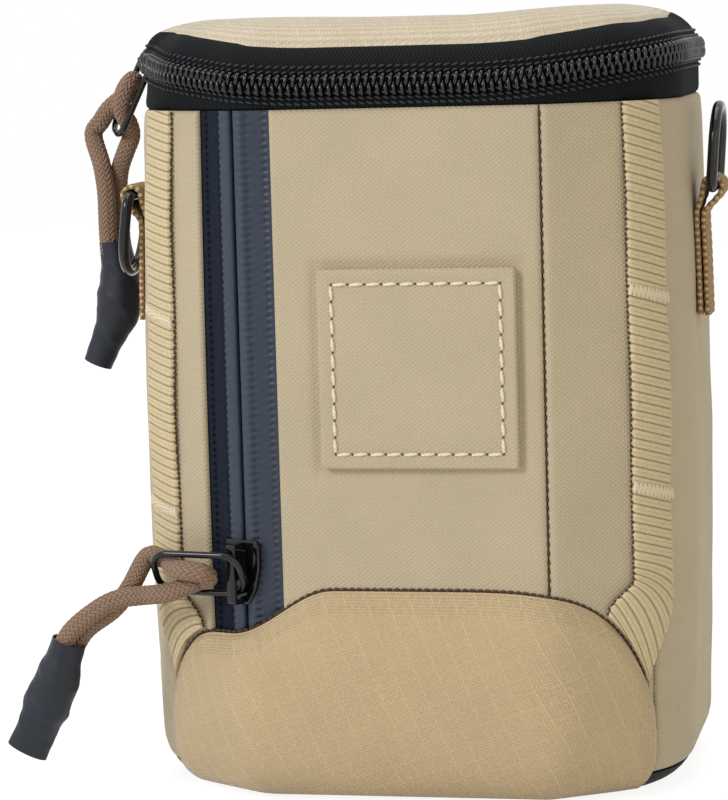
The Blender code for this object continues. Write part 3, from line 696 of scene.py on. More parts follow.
def piece(name, bm, look, body, slot, nodes=(), angle=50.0):
    """Turn a bmesh into a named piece that rides on a body."""
    mesh = bpy.data.meshes.new(name)
    bm.to_mesh(mesh)
    bm.free()
    mesh.shade_smooth()
    mesh.set_sharp_from_angle(angle=radians(angle))
    obj = bpy.data.objects.new(name, mesh)
    bpy.context.scene.collection.objects.link(obj)
    mesh.materials.append(look)
    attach(obj, body)
    if nodes:
        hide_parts(*nodes)
    return obj


# Finishes


def add(tree, kind, inputs=None, **settings):
    """Add a node with its settings, values and links, and return its first output."""
    made = tree.nodes.new(kind)
    for key, value in settings.items():
        setattr(made, key, value)
    for key, value in (inputs or {}).items():
        if isinstance(value, bpy.types.NodeSocket):
            tree.links.new(value, made.inputs[key])
        else:
            made.inputs[key].default_value = value
    return made.outputs[0]


def blank(name, colour, roughness, **sockets):
    """A material with its Principled shader's constant values set."""
    material = bpy.data.materials.new(name)
    material.use_nodes = True
    shader = material.node_tree.nodes["Principled BSDF"]
    shader.inputs["Base Color"].default_value = colour
    shader.inputs["Roughness"].default_value = roughness
    for key, value in sockets.items():
        shader.inputs[key.replace("_", " ")].default_value = value
    return material, material.node_tree, shader


def cloth_mm(tree, turn=0.0, name="UVMap"):
    """The piece's own cloth coordinates in millimetres, turned by an angle."""
    uv = add(tree, "ShaderNodeUVMap", uv_map=name)
    return add(
        tree, "ShaderNodeMapping", {"Vector": uv, "Scale": (1000, 1000, 1000), "Rotation": (0, 0, turn)}
    )


def on_object(tree):
    """The piece's object coordinates, in metres."""
    return add(tree, "ShaderNodeTexCoord").node.outputs["Object"]


def calc(tree, operation, *values):
    """A maths node over numbers or sockets."""
    return add(tree, "ShaderNodeMath", dict(enumerate(values)), operation=operation)


def product(tree, first, *others):
    """All the values multiplied together."""
    for other in others:
        first = calc(tree, "MULTIPLY", first, other)
    return first


def ranged(tree, value, low, high, start=0.0, end=1.0):
    """A value that goes from low to high while the one given goes from start to end."""
    return add(
        tree,
        "ShaderNodeMapRange",
        {"Value": value, "From Min": start, "From Max": end, "To Min": low, "To Max": high},
    )


def clouds(tree, scale, detail, where=None):
    """Soft noise over the cloth, or over other coordinates."""
    spot = cloth_mm(tree) if where is None else where
    return add(tree, "ShaderNodeTexNoise", {"Vector": spot, "Scale": scale, "Detail": detail})


def mottled(tree, value, low, high):
    """Noise spread from low to high; most of a noise's values lie near its middle."""
    return ranged(tree, value, low, high, 0.3, 0.7)


BAND = 2 * pi / 20  # a wave texture's scale for bands one unit apart


def bands(tree, pitch, turn=0.0, distortion=0.0, **settings):
    """Even bands on the cloth, a pitch apart in millimetres."""
    values = {"Vector": cloth_mm(tree, turn), "Scale": BAND / pitch, "Distortion": distortion}
    return add(tree, "ShaderNodeTexWave", values, **settings)


def axes_mm(tree, name="UVMap"):
    """The cloth's coordinates one by one: across and along."""
    outputs = add(tree, "ShaderNodeSeparateXYZ", {"Vector": cloth_mm(tree, name=name)}).node.outputs
    return outputs["X"], outputs["Y"]


def paint(tree, shader, colour, shade):
    """Set the shader's colour to one colour times a shade."""
    tint = add(tree, "ShaderNodeVectorMath", {0: colour[:3], 1: shade}, operation="MULTIPLY")
    tree.links.new(tint, shader.inputs["Base Color"])


def emboss(tree, shader, height, strength, distance):
    """Raise the surface by a height."""
    bump = add(tree, "ShaderNodeBump", {"Height": height, "Strength": strength, "Distance": distance})
    tree.links.new(bump, shader.inputs["Normal"])


def coated_fabric():
    """Polyester with a soft moulded coating: satin, with small embossed diamonds in rows whose dips are
    darkened with painted shade.
    """
    base = colours().coated
    material, tree, shader = blank("embossed_coated_polyester", base, 0.62, Specular_IOR_Level=0.35)
    pitch = sizes().emboss_pitch / MM
    diamonds = product(tree, bands(tree, pitch, radians(52)), bands(tree, pitch, radians(-52)))
    tone = mottled(tree, clouds(tree, 0.05, 3.0), 0.955, 1.03)
    # Painted shade: the colour is darker in the emboss's dips.
    dip = ranged(tree, diamonds, 0.91, 1.07)
    paint(tree, shader, base, product(tree, tone, dip))
    grain = clouds(tree, 2.6, 2.0)
    emboss(tree, shader, calc(tree, "MULTIPLY_ADD", grain, 0.25, diamonds), 0.7, 0.00018)
    return material


def ripstop_fabric(name, base):
    """Plain weave nylon with heavy threads that stand up in dotted lines, gathered in ribs by its seams; the
    ribs are coloured lighter on their crests and darker between, as painted highlight and shade.
    """
    material, tree, shader = blank(
        name, base, 0.72, Specular_IOR_Level=0.3, Sheen_Weight=0.4, Sheen_Roughness=0.35
    )
    pitch = sizes().ripstop_pitch / MM
    warp, weft = radians(-20), radians(70)
    dots = product(tree, bands(tree, 0.70, warp), bands(tree, 0.70, weft))
    strong = ranged(tree, bands(tree, pitch, warp), 0.0, 1.0, 0.90)
    faint = ranged(tree, bands(tree, pitch * 0.85, weft), 0.0, 1.0, 0.90)
    heavy = calc(tree, "MAXIMUM", strong, product(tree, faint, 0.45))
    ridge = product(tree, heavy, ranged(tree, dots, 0.45, 1.0))
    inward, _ = axes_mm(tree, "Seam")
    rib = calc(tree, "SINE", product(tree, inward, 2 * pi / 0.78))
    fade = ranged(tree, inward, 0.5, 0.0, 4.8, 7.0)
    ridge = calc(tree, "ADD", ridge, product(tree, rib, fade))
    tone = mottled(tree, clouds(tree, 0.06, 3.0), 0.96, 1.03)
    speck = mottled(tree, clouds(tree, 1.4, 2.0), 0.93, 1.06)
    cell = ranged(tree, dots, 0.86, 1.08)
    # The heavy threads' lines are lighter in colour; near the seam the ribs add painted highlight on their
    # crests and painted shade between them.
    lines_and_painted_rib_light = ranged(tree, ridge, 0.91, 1.18, -0.5)
    paint(tree, shader, base, product(tree, tone, speck, cell, lines_and_painted_rib_light))
    emboss(tree, shader, calc(tree, "MULTIPLY_ADD", ridge, 1.6, dots), 0.6, 0.00014)
    return material


def toe_ripstop():
    return ripstop_fabric("ripstop_nylon", colours().ripstop)


# The lid's ripstop is the toe's with a paler colour that paints the sheen it shows at a grazing view.
def lid_ripstop_painted_sheen():
    return ripstop_fabric("ripstop_nylon_paled_for_painted_sheen", colours().lid)


def ribbed_webbing():
    """Woven nylon webbing: matt yarn with fine lines along it; its ribs are in the mesh, and painted shade
    darkens the grooves between and along them.
    """
    base = colours().webbing
    material, tree, shader = blank("nylon_grosgrain_webbing", base, 0.85, Specular_IOR_Level=0.2)
    pitch = sizes().rib_pitch / MM
    weave = product(tree, bands(tree, 0.62), bands(tree, pitch / 4, bands_direction="Y"))
    _, along = axes_mm(tree)
    phase = product(tree, along, pi / pitch)
    # Painted shade: darker in the grooves between the ribs and in the groove along each rib's middle.
    rib = ranged(tree, calc(tree, "ABSOLUTE", calc(tree, "SINE", phase)), 0.44, 1.06, 0.0, 0.5)
    middle = ranged(tree, calc(tree, "ABSOLUTE", calc(tree, "COSINE", phase)), 0.82, 1.02, 0.0, 0.32)
    speck = mottled(tree, clouds(tree, 1.2, 2.0), 0.92, 1.06)
    cell = ranged(tree, weave, 0.93, 1.04)
    paint(tree, shader, base, product(tree, speck, cell, rib, middle))
    emboss(tree, shader, weave, 0.5, 0.00012)
    return material


def speckled_webbing():
    """Folded webbing seen at its selvedge: tan yarn with brown flecks."""
    material, tree, shader = blank(
        "nylon_webbing_with_flecked_edge", colours().webbing, 0.88, Specular_IOR_Level=0.2
    )
    flecks = product(tree, *(bands(tree, 1.05, turn, 1.2) for turn in (radians(40), radians(-40))))
    fleck = ranged(tree, flecks, 1.0, 0.0, 0.06, 0.36)
    yarns = {"Factor": fleck, "A": linear("#CBB48C"), "B": linear("#92714D")}
    mixed = add(tree, "ShaderNodeMix", yarns, data_type="RGBA").node.outputs["Result"]
    tree.links.new(mixed, shader.inputs["Base Color"])
    emboss(tree, shader, calc(tree, "SUBTRACT", fleck, bands(tree, 1.1)), 0.6, 0.0002)
    return material


def navy_tape_finish():
    """Zip tape laminated with a film: semi-gloss, paler over the coil, with painted shadow darkest under the
    left lip and painted shade in its dimples.
    """
    base = colours().navy
    material, tree, shader = blank("laminated_zip_tape", base, 0.42, Specular_IOR_Level=0.32)
    rough = mottled(tree, clouds(tree, 0.12, 4.0), 0.36, 0.52)
    tree.links.new(rough, shader.inputs["Roughness"])
    across, _ = axes_mm(tree)
    gap = calc(tree, "ABSOLUTE", across)
    strip = ranged(tree, gap, 1.15, 0.9, 3.2, 4.6)
    # Painted shadow: the left tape gets darker, and less glossy, towards its outer edge under the lip.
    painted_lip_shadow = ranged(tree, across, 0.48, 1.0, -4.4, -3.2)
    gloss = product(tree, calc(tree, "POWER", painted_lip_shadow, 3.0), 0.32)
    tree.links.new(gloss, shader.inputs["Specular IOR Level"])
    peel = clouds(tree, 0.8, 3.0)
    shade = product(tree, mottled(tree, peel, 0.88, 1.12), strip, painted_lip_shadow)
    beat = bands(tree, 1.7, distortion=1.5, bands_direction="Y")
    # Painted shade in the rows of dimples.
    for row, reach in ((4.0, 1.1), (8.6, 0.8)):
        away = calc(tree, "ABSOLUTE", calc(tree, "SUBTRACT", gap, row))
        dimple = product(tree, beat, ranged(tree, away, 0.45, 0.0, 0.0, reach))
        shade = calc(tree, "SUBTRACT", shade, dimple)
    paint(tree, shader, base, shade)
    emboss(tree, shader, peel, 0.35, 0.0002)
    return material


def black_tape_finish():
    """Polyester zip tape: black twill with chevron rows."""
    base = colours().black_tape
    material, tree, shader = blank("woven_zip_tape", base, 0.85, Specular_IOR_Level=0.12)
    run, rise = axes_mm(tree)
    slant = calc(tree, "MULTIPLY_ADD", calc(tree, "PINGPONG", rise, 1.1), 0.8, run)
    wave = calc(tree, "SINE", product(tree, slant, 2 * pi / 0.95))
    paint(tree, shader, base, ranged(tree, wave, 0.3, 2.1, -1.0))
    emboss(tree, shader, wave, 0.6, 0.00012)
    return material


def plain_weave(name, colour, thread, roughness):
    """A plain woven cloth with its thread spacing in millimetres."""
    material, tree, shader = blank(name, colour, roughness, Specular_IOR_Level=0.25)
    cells = product(tree, bands(tree, thread), bands(tree, thread, pi / 2))
    tone = mottled(tree, clouds(tree, 0.08, 3.0), 0.9, 1.1)
    paint(tree, shader, colour, product(tree, tone, ranged(tree, cells, 0.7, 1.3)))
    emboss(tree, shader, cells, 0.5, 0.00012)
    return material


def nylon_coil():
    """Drawn nylon filament: smooth, dark and shiny."""
    material, tree, shader = blank("drawn_nylon_coil", colours().coil, 0.2, Specular_IOR_Level=0.5)
    rough = ranged(tree, clouds(tree, 900.0, 2.0, on_object(tree)), 0.1, 0.24)
    tree.links.new(rough, shader.inputs["Roughness"])
    return material


def gloss_metal():
    """Zinc and steel with baked gloss black: mirror-like edges, faint handling marks."""
    material, tree, shader = blank(
        "gloss_black_coated_metal",
        colours().metal,
        0.16,
        Specular_IOR_Level=0.36,
        Coat_Weight=0.12,
        Coat_Roughness=0.08,
    )
    marks = clouds(tree, 420.0, 4.0, on_object(tree))
    tree.links.new(ranged(tree, marks, 0.05, 0.15, 0.35, 0.75), shader.inputs["Roughness"])
    return material


def braided_cord():
    """Braided polyester cord: herringbone of matt yarn bundles."""
    base = colours().cord
    material, tree, shader = blank("braided_polyester_cord", base, 0.85, Specular_IOR_Level=0.2)
    uv = add(tree, "ShaderNodeUVMap", uv_map="UVMap")
    place = add(tree, "ShaderNodeSeparateXYZ", {"Vector": uv}).node.outputs
    fold = calc(tree, "PINGPONG", product(tree, place["X"], BRAID_COLUMNS), 1.0)
    row = product(tree, place["Y"], 1.0 / sizes().braid_pitch)
    slant = calc(tree, "MULTIPLY_ADD", fold, BRAID_SLANT, row)
    wave = calc(tree, "SINE", product(tree, slant, 2 * pi))
    speck = ranged(tree, clouds(tree, 700.0, 2.0, uv), 0.85, 1.15)
    paint(tree, shader, base, product(tree, ranged(tree, wave, 0.70, 1.16, -1.0), speck))
    groove = calc(tree, "PINGPONG", fold, 1.0)
    emboss(tree, shader, calc(tree, "ADD", wave, groove), 0.7, 0.0002)
    return material


def shrunk_sleeve():
    """Shrunk polyolefin: dark, satin, faintly streaked where it drew tight."""
    base = colours().sleeve
    material, tree, shader = blank("shrunk_polyolefin", base, 0.5, Specular_IOR_Level=0.4)
    streak = clouds(tree, 160.0, 5.0, on_object(tree))
    tree.links.new(mottled(tree, streak, 0.42, 0.62), shader.inputs["Roughness"])
    paint(tree, shader, base, mottled(tree, streak, 0.85, 1.15))
    emboss(tree, shader, streak, 0.25, 0.0003)
    return material


def thread_finish(name, colour):
    """Bonded polyester thread, slightly shiny, with its twist as fine bands."""
    material, tree, shader = blank(name, colour, 0.6, Specular_IOR_Level=0.3)
    values = {"Vector": on_object(tree), "Scale": BAND / 0.00045}
    twist = add(tree, "ShaderNodeTexWave", values, bands_direction="DIAGONAL")
    paint(tree, shader, colour, ranged(tree, twist, 0.82, 1.08))
    return material


def pale_thread():
    return thread_finish("pale_sewing_thread", colours().pale_thread)


def tack_thread():
    return thread_finish("tack_thread", linear("#E0CFB2"))


def dark_thread():
    return thread_finish("dark_sewing_thread", colours().dark_thread)


def black_thread():
    return thread_finish("black_sewing_thread", linear("#2A2D32"))


def black_weave():
    return plain_weave("black_packcloth", colours().black_fabric, 1.5, 0.8)


def lining_cloth():
    return plain_weave("brushed_lining", colours().lining, 0.9, 0.9)


MADE = {}


def look(build):
    """Make each finish once and share it."""
    if build not in MADE:
        MADE[build] = build()
    return MADE[build]


# Stage


def seen_by(tree, first, *others):
    """1 for light rays of the kinds named, else 0."""
    rays = add(tree, "ShaderNodeLightPath").node.outputs
    seen = rays[first]
    for kind in others:
        seen = calc(tree, "MAXIMUM", seen, rays[kind])
    return seen


class PackStage(bpy.types.Operator):
    """Set up the camera, the soft lights and the pale floor"""

    bl_idname = "pack.stage"
    bl_label = "Stage"

    def execute(self, context):
        scene = context.scene
        scene.view_settings.view_transform = "Standard"
        back = Vector(
            (
                sin(VIEW_AZIMUTH) * cos(VIEW_RISE),
                -cos(VIEW_AZIMUTH) * cos(VIEW_RISE),
                sin(VIEW_RISE),
            )
        )
        right = (-back).cross(Vector((0.0, 0.0, 1.0))).normalized()
        up = right.cross(-back)
        rolled = right * cos(VIEW_ROLL) - up * sin(VIEW_ROLL)
        upright = right * sin(VIEW_ROLL) + up * cos(VIEW_ROLL)
        lens = bpy.data.cameras.new("camera")
        lens.sensor_width = SENSOR
        lens.lens = FOCAL_PIXELS * SENSOR / IMAGE_HEIGHT
        lens.clip_start = 0.01
        camera = bpy.data.objects.new("camera", lens)
        camera.matrix_world = Matrix.Translation(VIEW_AIM + back * VIEW_DISTANCE) @ (
            Matrix((rolled, upright, back)).transposed().to_4x4()
        )
        scene.collection.objects.link(camera)
        scene.camera = camera
        self.light(scene)
        self.lay_floor(scene)
        return {"FINISHED"}

    def light(self, scene):
        """Three soft lamps and a world that shows white but lights less."""
        for name, spot, size, power, tint in LAMPS:
            lamp = bpy.data.lights.new(name, "AREA")
            lamp.color = linear(tint)[:3]
            lamp.size = size
            lamp.energy = power
            holder = bpy.data.objects.new(name, lamp)
            holder.location = spot
            holder.rotation_mode = "QUATERNION"
            holder.rotation_quaternion = (LIGHT_AIM - Vector(spot)).to_track_quat("-Z", "Y")
            scene.collection.objects.link(holder)
        world = bpy.data.worlds.new("studio")
        scene.world = world
        world.use_nodes = True
        tree = world.node_tree
        seen = seen_by(tree, "Is Camera Ray", "Is Glossy Ray", "Is Transmission Ray")
        sky = tree.nodes["Background"].inputs
        tree.links.new(ranged(tree, seen, AMBIENT, 1.0), sky["Strength"])
        sky["Color"].default_value = WHITE

    def lay_floor(self, scene):
        """A matt floor that keeps the pack's shadow and goes white into the distance."""
        bm = bmesh.new()
        bmesh.ops.create_grid(bm, x_segments=8, y_segments=8, size=4.0)
        mesh = bpy.data.meshes.new("floor")
        bm.to_mesh(mesh)
        bm.free()
        floor = bpy.data.objects.new("floor", mesh)
        scene.collection.objects.link(floor)
        material, tree, shader = blank("matt_studio_floor", colours().floor, 0.9, Specular_IOR_Level=0.1)
        glow = add(tree, "ShaderNodeEmission", {"Color": WHITE, "Strength": FLOOR_GLOW})
        share = product(tree, seen_by(tree, "Is Camera Ray", "Is Glossy Ray"), GLOW_SHARE)
        mixed = add(tree, "ShaderNodeMixShader", {0: share, 1: shader.outputs["BSDF"], 2: glow})
        tree.links.new(mixed, tree.nodes["Material Output"].inputs["Surface"])
        mesh.materials.append(material)


# Pulls: wire loops, doubled cords and shrunk sleeves


def frame_of(across, along, out, origin):
    """A matrix whose columns are the three axes."""
    turn = Matrix((across, along, out)).transposed().to_4x4()
    return Matrix.Translation(origin) @ turn


def pull_frame(ahead, strap, axis_point):
    """The pull's frame: ahead along the loop, tilted about it so that it clears the bridge."""
    beside = strap.cross(ahead).normalized()
    across = strap * sin(PULL_TILT) + beside * cos(PULL_TILT)
    return frame_of(ahead, across, ahead.cross(across), axis_point)


def front_pull_frame():
    up = Vector((0.0, 0.0, 1.0))
    out = wall_out(ZIP_SEAM)
    rise = SLIDER_PLATE + STRAP_RISE - FABRIC
    left = out.cross(up)
    if left.x > 0:
        left = -left
    ahead = left * cos(FRONT_PULL_LIFT) + out * sin(FRONT_PULL_LIFT)
    place = pull_frame(ahead, up, zip_spot(0.0, rise, POCKET_SLIDER_Z))
    if (place.to_3x3() @ Vector((0, 0, 1))).dot(out) < 0:
        place = place @ Matrix.Diagonal((1, 1, -1, 1))
    return place


def main_pull_frame():
    rise = COIL + GAP + SLIDER_PLATE + STRAP_RISE
    rear = BODY_DEPTH / 2 - BACK_CORNER
    spot = Vector((-BODY_WIDTH / 2 - rise, rear - MAIN_SLIDER_BACK, chain(SIDE_END)))
    down = Vector((-sin(MAIN_PULL_DROP), 0.0, -cos(MAIN_PULL_DROP)))
    return pull_frame(down, Vector((0.0, -1.0, 0.0)), spot)


def hitch(place):
    """The cord's two strands through the loop: behind its far end, round, and out in front."""
    far = PULL_LENGTH - PULL_BACK
    side = (CORD + PULL_WIRE) / 2 + GAP
    turns = [
        (far + 0.0035, 0.0012, -side - 0.0004),
        (far - 0.0006, 0.0014, -side - 0.0001),
        (far - 0.0031, 0.0017, -0.0020),
        (far - 0.0046, 0.0020, -0.0001),
        (far - 0.0064, 0.0024, 0.0017),
        (far - 0.0086, 0.0030, 0.0027),
        (far - 0.0110, 0.0030, 0.0030),
        (far - 0.0131, 0.0022, 0.0025),
        (far - 0.0140, 0.0004, 0.0014),
        (far - 0.0131, -0.0014, 0.0003),
        (far - 0.0110, -0.0021, 0.0),
        (far - 0.0086, -0.0024, 0.0013),
        (far - 0.0064, -0.0029, 0.0024),
        (far - 0.0040, -0.0034, 0.0033),
        (far - 0.0006, -0.0038, side + 0.0003),
        (far + 0.0035, -0.0042, side + 0.0006),
    ]
    return [place @ Vector(turn) for turn in turns]


# Each pull's frame, its sleeve's mouth and line, how its strands spread, and the sleeve's half width and
# half depth in millimetres from its mouth to its end
PULLS = {
    "front": (
        front_pull_frame,
        Vector((-0.0796, -0.0440, 0.0392)),
        [Vector((-0.0833, -0.0440, 0.0290)), Vector((-0.0915, -0.0430, 0.0120))],
        Vector((0.0011, 0.0019, -0.0003)),
        [(4.1, 5.0), (4.3, 4.9), (5.1, 5.0), (5.5, 4.9), (5.9, 4.6), (5.1, 3.8), (4.9, 3.0), (5.1, 2.6)],
    ),
    "main": (
        main_pull_frame,
        Vector((-0.0829, 0.0195, 0.1298)),
        [Vector((-0.0822, 0.0195, 0.1145)), Vector((-0.0886, 0.0195, 0.0985))],
        Vector((0.0010, 0.0024, 0.0)),
        [(3.9, 5.3), (4.1, 5.2), (5.0, 5.1), (5.7, 5.0), (5.5, 4.6), (4.6, 4.0), (3.9, 3.4), (3.7, 3.2)],
    ),
}


def shrunk_form(mouth, tail, forms, seed):
    """A sleeve drawn tight over the cord's knot: thin lip, lumps, slanted folds and a cut end."""
    line = even(route([mouth] + tail, 8), SLEEVE_STEP)

    def shape(f, k):
        at = f * (len(forms) - 1)
        i = min(int(at), len(forms) - 2)
        return (forms[i][k] + (forms[i + 1][k] - forms[i][k]) * smooth(at - i)) * MM

    cross = frames(line, False)
    bm = bmesh.new()
    lip = [(8, 0.89), (0, 0.91), (0, 0.98)]
    rows = len(line) - 1 + len(lip)
    made = grid(bm, SLEEVE_SIDES, rows)
    for vert in made:
        i, j = cell_of(vert, SLEEVE_SIDES, rows)
        turn = 2 * pi * i / SLEEVE_SIDES
        k, inner = lip[j] if j < len(lip) else (j - len(lip), 1.0)
        f = k / (len(line) - 1)
        ahead = cross[k][0]
        wide = Vector((1.0, 0.0, 0.0))
        wide = (wide - ahead * wide.dot(ahead)).normalized()
        deep = ahead.cross(wide)
        middle = sin(pi * min(f * 1.05, 1.0)) ** 0.6
        place = Vector((cos(turn) * 0.9, sin(turn) * 0.9, f * 3.4 + seed))
        lump = 1.0 + SLEEVE_LUMP * middle * noise.noise(place)
        fold = sin(f * 24.0 + 2.0 * cos(turn + seed) + turn)
        lump += SLEEVE_FOLD * middle * max(fold, 0.0) ** 3 * (0.6 + 0.4 * cos(2 * turn + seed))
        reach = wide * shape(f, 0) * cos(turn) + deep * shape(f, 1) * sin(turn)
        vert.co = line[k] + reach * lump * inner
    bmesh.ops.remove_doubles(bm, verts=made, dist=FINE_WELD)
    close_holes(bm)
    face_out(bm)
    return bm


def strands(place, mouth, ahead, spread):
    """The doubled cord's line: from inside the sleeve, through the loop and back beside itself."""
    start = mouth + ahead * CORD_IN_SLEEVE
    turns = hitch(place)
    pinch = (2 * mouth + turns[0] + turns[-1]) / 4
    leave = mouth + ((pinch - mouth).normalized() * 0.8 - ahead * 0.2) * CORD * 0.8
    opened = turns[0] - turns[-1]
    if opened.dot(spread) < 0:
        spread = -spread
    ring_end = (turns[0] + turns[-1]) / 2
    gather = ring_end + (pinch - ring_end).normalized() * GATHER
    beside = spread.normalized() * CORD * STRAND_SHARE
    closing = (opened.normalized() + spread.normalized()).normalized() * CORD * STRAND_SHARE
    points = [start + spread, leave + spread, pinch + beside, gather + closing] + turns
    points += [gather - closing, pinch - beside, leave - spread, start - spread]
    return even(route(points, 8), CORD_STEP)


class PackPullCords(bpy.types.Operator):
    """Lay the doubled braided cord of each zip pull, with its shrunk sleeve"""

    bl_idname = "pack.pull_cords"
    bl_label = "Pull cords"

    def execute(self, context):
        for prefix, (place, mouth, tail, spread, forms) in PULLS.items():
            ahead = (tail[0] - mouth).normalized()
            line = strands(place(), mouth, ahead, spread - ahead * spread.dot(ahead))

            def braid(run, turn):
                fold = abs((turn / (2 * pi) * BRAID_COLUMNS + 1.0) % 2.0 - 1.0)
                wave = sin(2 * pi * (fold * BRAID_SLANT + run / sizes().braid_pitch))
                return CORD / 2 - BRAID_SINK + BRAID_RISE * wave

            cord = piece(
                f"{prefix}_cord",
                tube(line, braid, 48),
                look(braided_cord),
                f"{prefix}_ring",
                "brown_cord",
                [f"{prefix}_pull_cord"],
            )
            bm = shrunk_form(mouth, tail, forms, 1.7 if prefix == "front" else 4.1)
            cover = piece(
                f"{prefix}_sleeve",
                bm,
                look(shrunk_sleeve),
                f"{prefix}_ring",
                "sleeve",
                [f"{prefix}_pull_sleeve"],
                65.0,
            )
            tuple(line[0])
            distances(line)[-1]
        return {"FINISHED"}


class PackWireRings(bpy.types.Operator):
    """Bend the pull loops and the D-rings from glossy black wire"""

    bl_idname = "pack.wire_rings"
    bl_label = "Wire rings"

    def execute(self, context):
        far, near = PULL_LENGTH - PULL_BACK, -PULL_BACK
        half, r = PULL_WIDTH / 2, PULL_CORNER
        corners = [
            (far - r, half - r, 0.0),
            (near + r, half - r, 0.5 * pi),
            (near + r, r - half, pi),
            (far - r, r - half, 1.5 * pi),
        ]
        for prefix, (place, _, _, _, _) in PULLS.items():
            points = []
            for p, w, start in corners:
                for f in steps(14):
                    turn = start + pi / 2 * f
                    points.append(place() @ Vector((p + r * cos(turn), w + r * sin(turn), 0.0)))
            piece(
                f"{prefix}_wire_loop",
                tube(points, PULL_WIRE / 2, 20, True),
                look(gloss_metal),
                f"{prefix}_ring",
                "black_metal",
                [f"{prefix}_pull_ring"],
            )
        half = RING_WIDTH / 2
        shape = []
        for f in steps(8):
            turn = pi + pi / 2 * f
            shape.append((RING_CORNER * (1 + cos(turn)) - half, RING_CORNER * (1 + sin(turn))))
        for f in steps(8):
            turn = 1.5 * pi + pi / 2 * f
            shape.append((half - RING_CORNER * (1 - cos(turn)), RING_CORNER * (1 + sin(turn))))
        shoulder = RING_HEIGHT - half
        for f in steps(36):
            shape.append((half * cos(pi * f), shoulder + half * sin(pi * f)))
        for side, sign, tilt, up in (("left", -1, LEFT_RING_TILT, -1), ("right", 1, RIGHT_RING_TILT, 1)):
            bar = wall(sign * tab_station(), TAB_FOLD, -fold_out())
            away = Vector((sign * sin(tilt), 0.0, up * cos(tilt)))
            points = [bar + Vector((0.0, y, 0.0)) + away * h for y, h in shape]
            piece(
                f"{side}_d_wire",
                tube(points, RING_WIRE / 2, 24, True),
                look(gloss_metal),
                f"{side}_ring",
                "black_metal",
                [f"{side}_d_ring"],
            )
        return {"FINISHED"}


class PackSliders(bpy.types.Operator):
    """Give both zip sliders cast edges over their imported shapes"""

    bl_idname = "pack.sliders"
    bl_label = "Zip sliders"

    def execute(self, context):
        for prefix in ("main", "front"):
            for node in SLIDER_EDGES:
                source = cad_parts[f"{prefix}_slider_{node}"]
                bm = bmesh.new()
                bm.from_mesh(source.data)
                bmesh.ops.remove_doubles(bm, verts=bm.verts[:], dist=WELD)
                bmesh.ops.dissolve_limit(bm, angle_limit=radians(2), verts=bm.verts[:], edges=bm.edges[:])
                joined = [edge for edge in bm.edges if edge.is_manifold]
                bmesh.ops.bevel(
                    bm,
                    geom=[edge for edge in joined if edge.calc_face_angle(0.0) > radians(25)],
                    offset=SLIDER_EDGES[node],
                    offset_type="OFFSET",
                    affect="EDGES",
                    segments=3,
                    profile=0.5,
                    material=-1,
                    clamp_overlap=True,
                )
                piece(
                    f"{prefix}_slider_{node}_cast",
                    bm,
                    look(gloss_metal),
                    f"{prefix}_slider",
                    "black_metal",
                    [f"{prefix}_slider_{node}"],
                    35.0,
                )
        return {"FINISHED"}


# Fabric panels

# Each fold's place on the outline, height, turn, length, width and depth
CREASES = [
    (CORNER_SEAM + 0.0060, 0.0240, radians(28), 0.0060, 0.0009, 0.0007),
    (CORNER_SEAM + 0.0075, 0.0205, radians(42), 0.0050, 0.0008, 0.0005),
    (CORNER_SEAM + 0.0090, 0.0275, radians(15), 0.0070, 0.0010, 0.0004),
    (-CORNER_SEAM - 0.0060, 0.0200, radians(140), 0.0060, 0.0010, 0.0005),
    (-CORNER_SEAM - 0.0080, 0.0270, radians(160), 0.0070, 0.0011, 0.0004),
]


def creases(s, z):
    """Small folds where the sides are gathered into the toe seam."""
    total = 0.0
    for at, height, turn, length, width, depth in CREASES:
        dx, dz = s - at, z - height
        along = dx * cos(turn) + dz * sin(turn)
        across = -dx * sin(turn) + dz * cos(turn)
        total += depth * exp(-((along / length) ** 2) - (across / width) ** 2)
        total -= 0.6 * depth * exp(-((along / length) ** 2) - ((across - 1.7 * width) / width) ** 2)
    return total


def pressed(s, z):
    """How deep the panel is pressed in round the patch's edge."""
    away = max(abs(s - PATCH_X), abs(z - PATCH_Z)) - PATCH_SIZE / 2
    return PRESSED_DEPTH * hump(away, 0.0008, 0.0009)


def panel(name, start, end, low, high, look_of, slot, node, rolls, seed, step=PANEL_STEP, dent=None):
    """A wall panel; rolls says how wide each edge rounds off: left, right, bottom and top."""
    left, right, bottom, top = rolls
    us = span(start, end, step, max(left, right))
    vs = span(0.0, 1.0, step / PANEL_HEIGHT, max(bottom, top) / PANEL_HEIGHT)

    def place(s, v, side):
        foot, head = low(s), high(s)
        z = foot + (head - foot) * v
        if side:
            return wall(s, z, FABRIC)
        inset = 0.0
        for gap, roll in ((s - start, left), (end - s, right), (z - foot, bottom), (head - z, top)):
            if roll:
                inset = max(inset, bullnose(gap, roll, FABRIC * 0.92))
        edge = min(s - start, end - s, z - foot, head - z)
        give = smooth(edge / 0.008)
        wave = ripple(s, z, 0.030, seed) + 0.5 * ripple(s, z, 0.013, seed + 5.0)
        inset -= sizes().wrinkle * (0.4 + wave) * give
        inset += creases(unwrap(s), z) + (dent(s, z) if dent else 0.0)
        return wall(s, z, min(inset, FABRIC * 0.95))

    bm = sheet(us, vs, place, lambda s, v: (s, low(s) + (high(s) - low(s)) * v))
    return piece(name, bm, look(look_of), "pouch", slot, [node])


def body_top(s):
    return BODY_TOP


def under_toe(s):
    return arch(s) - LAP * 0.2


def base_edge(s):
    return BASE_RISE + GAP


def back_top(s):
    return lid_rim(s) - 2 * HINGE_CLEAR


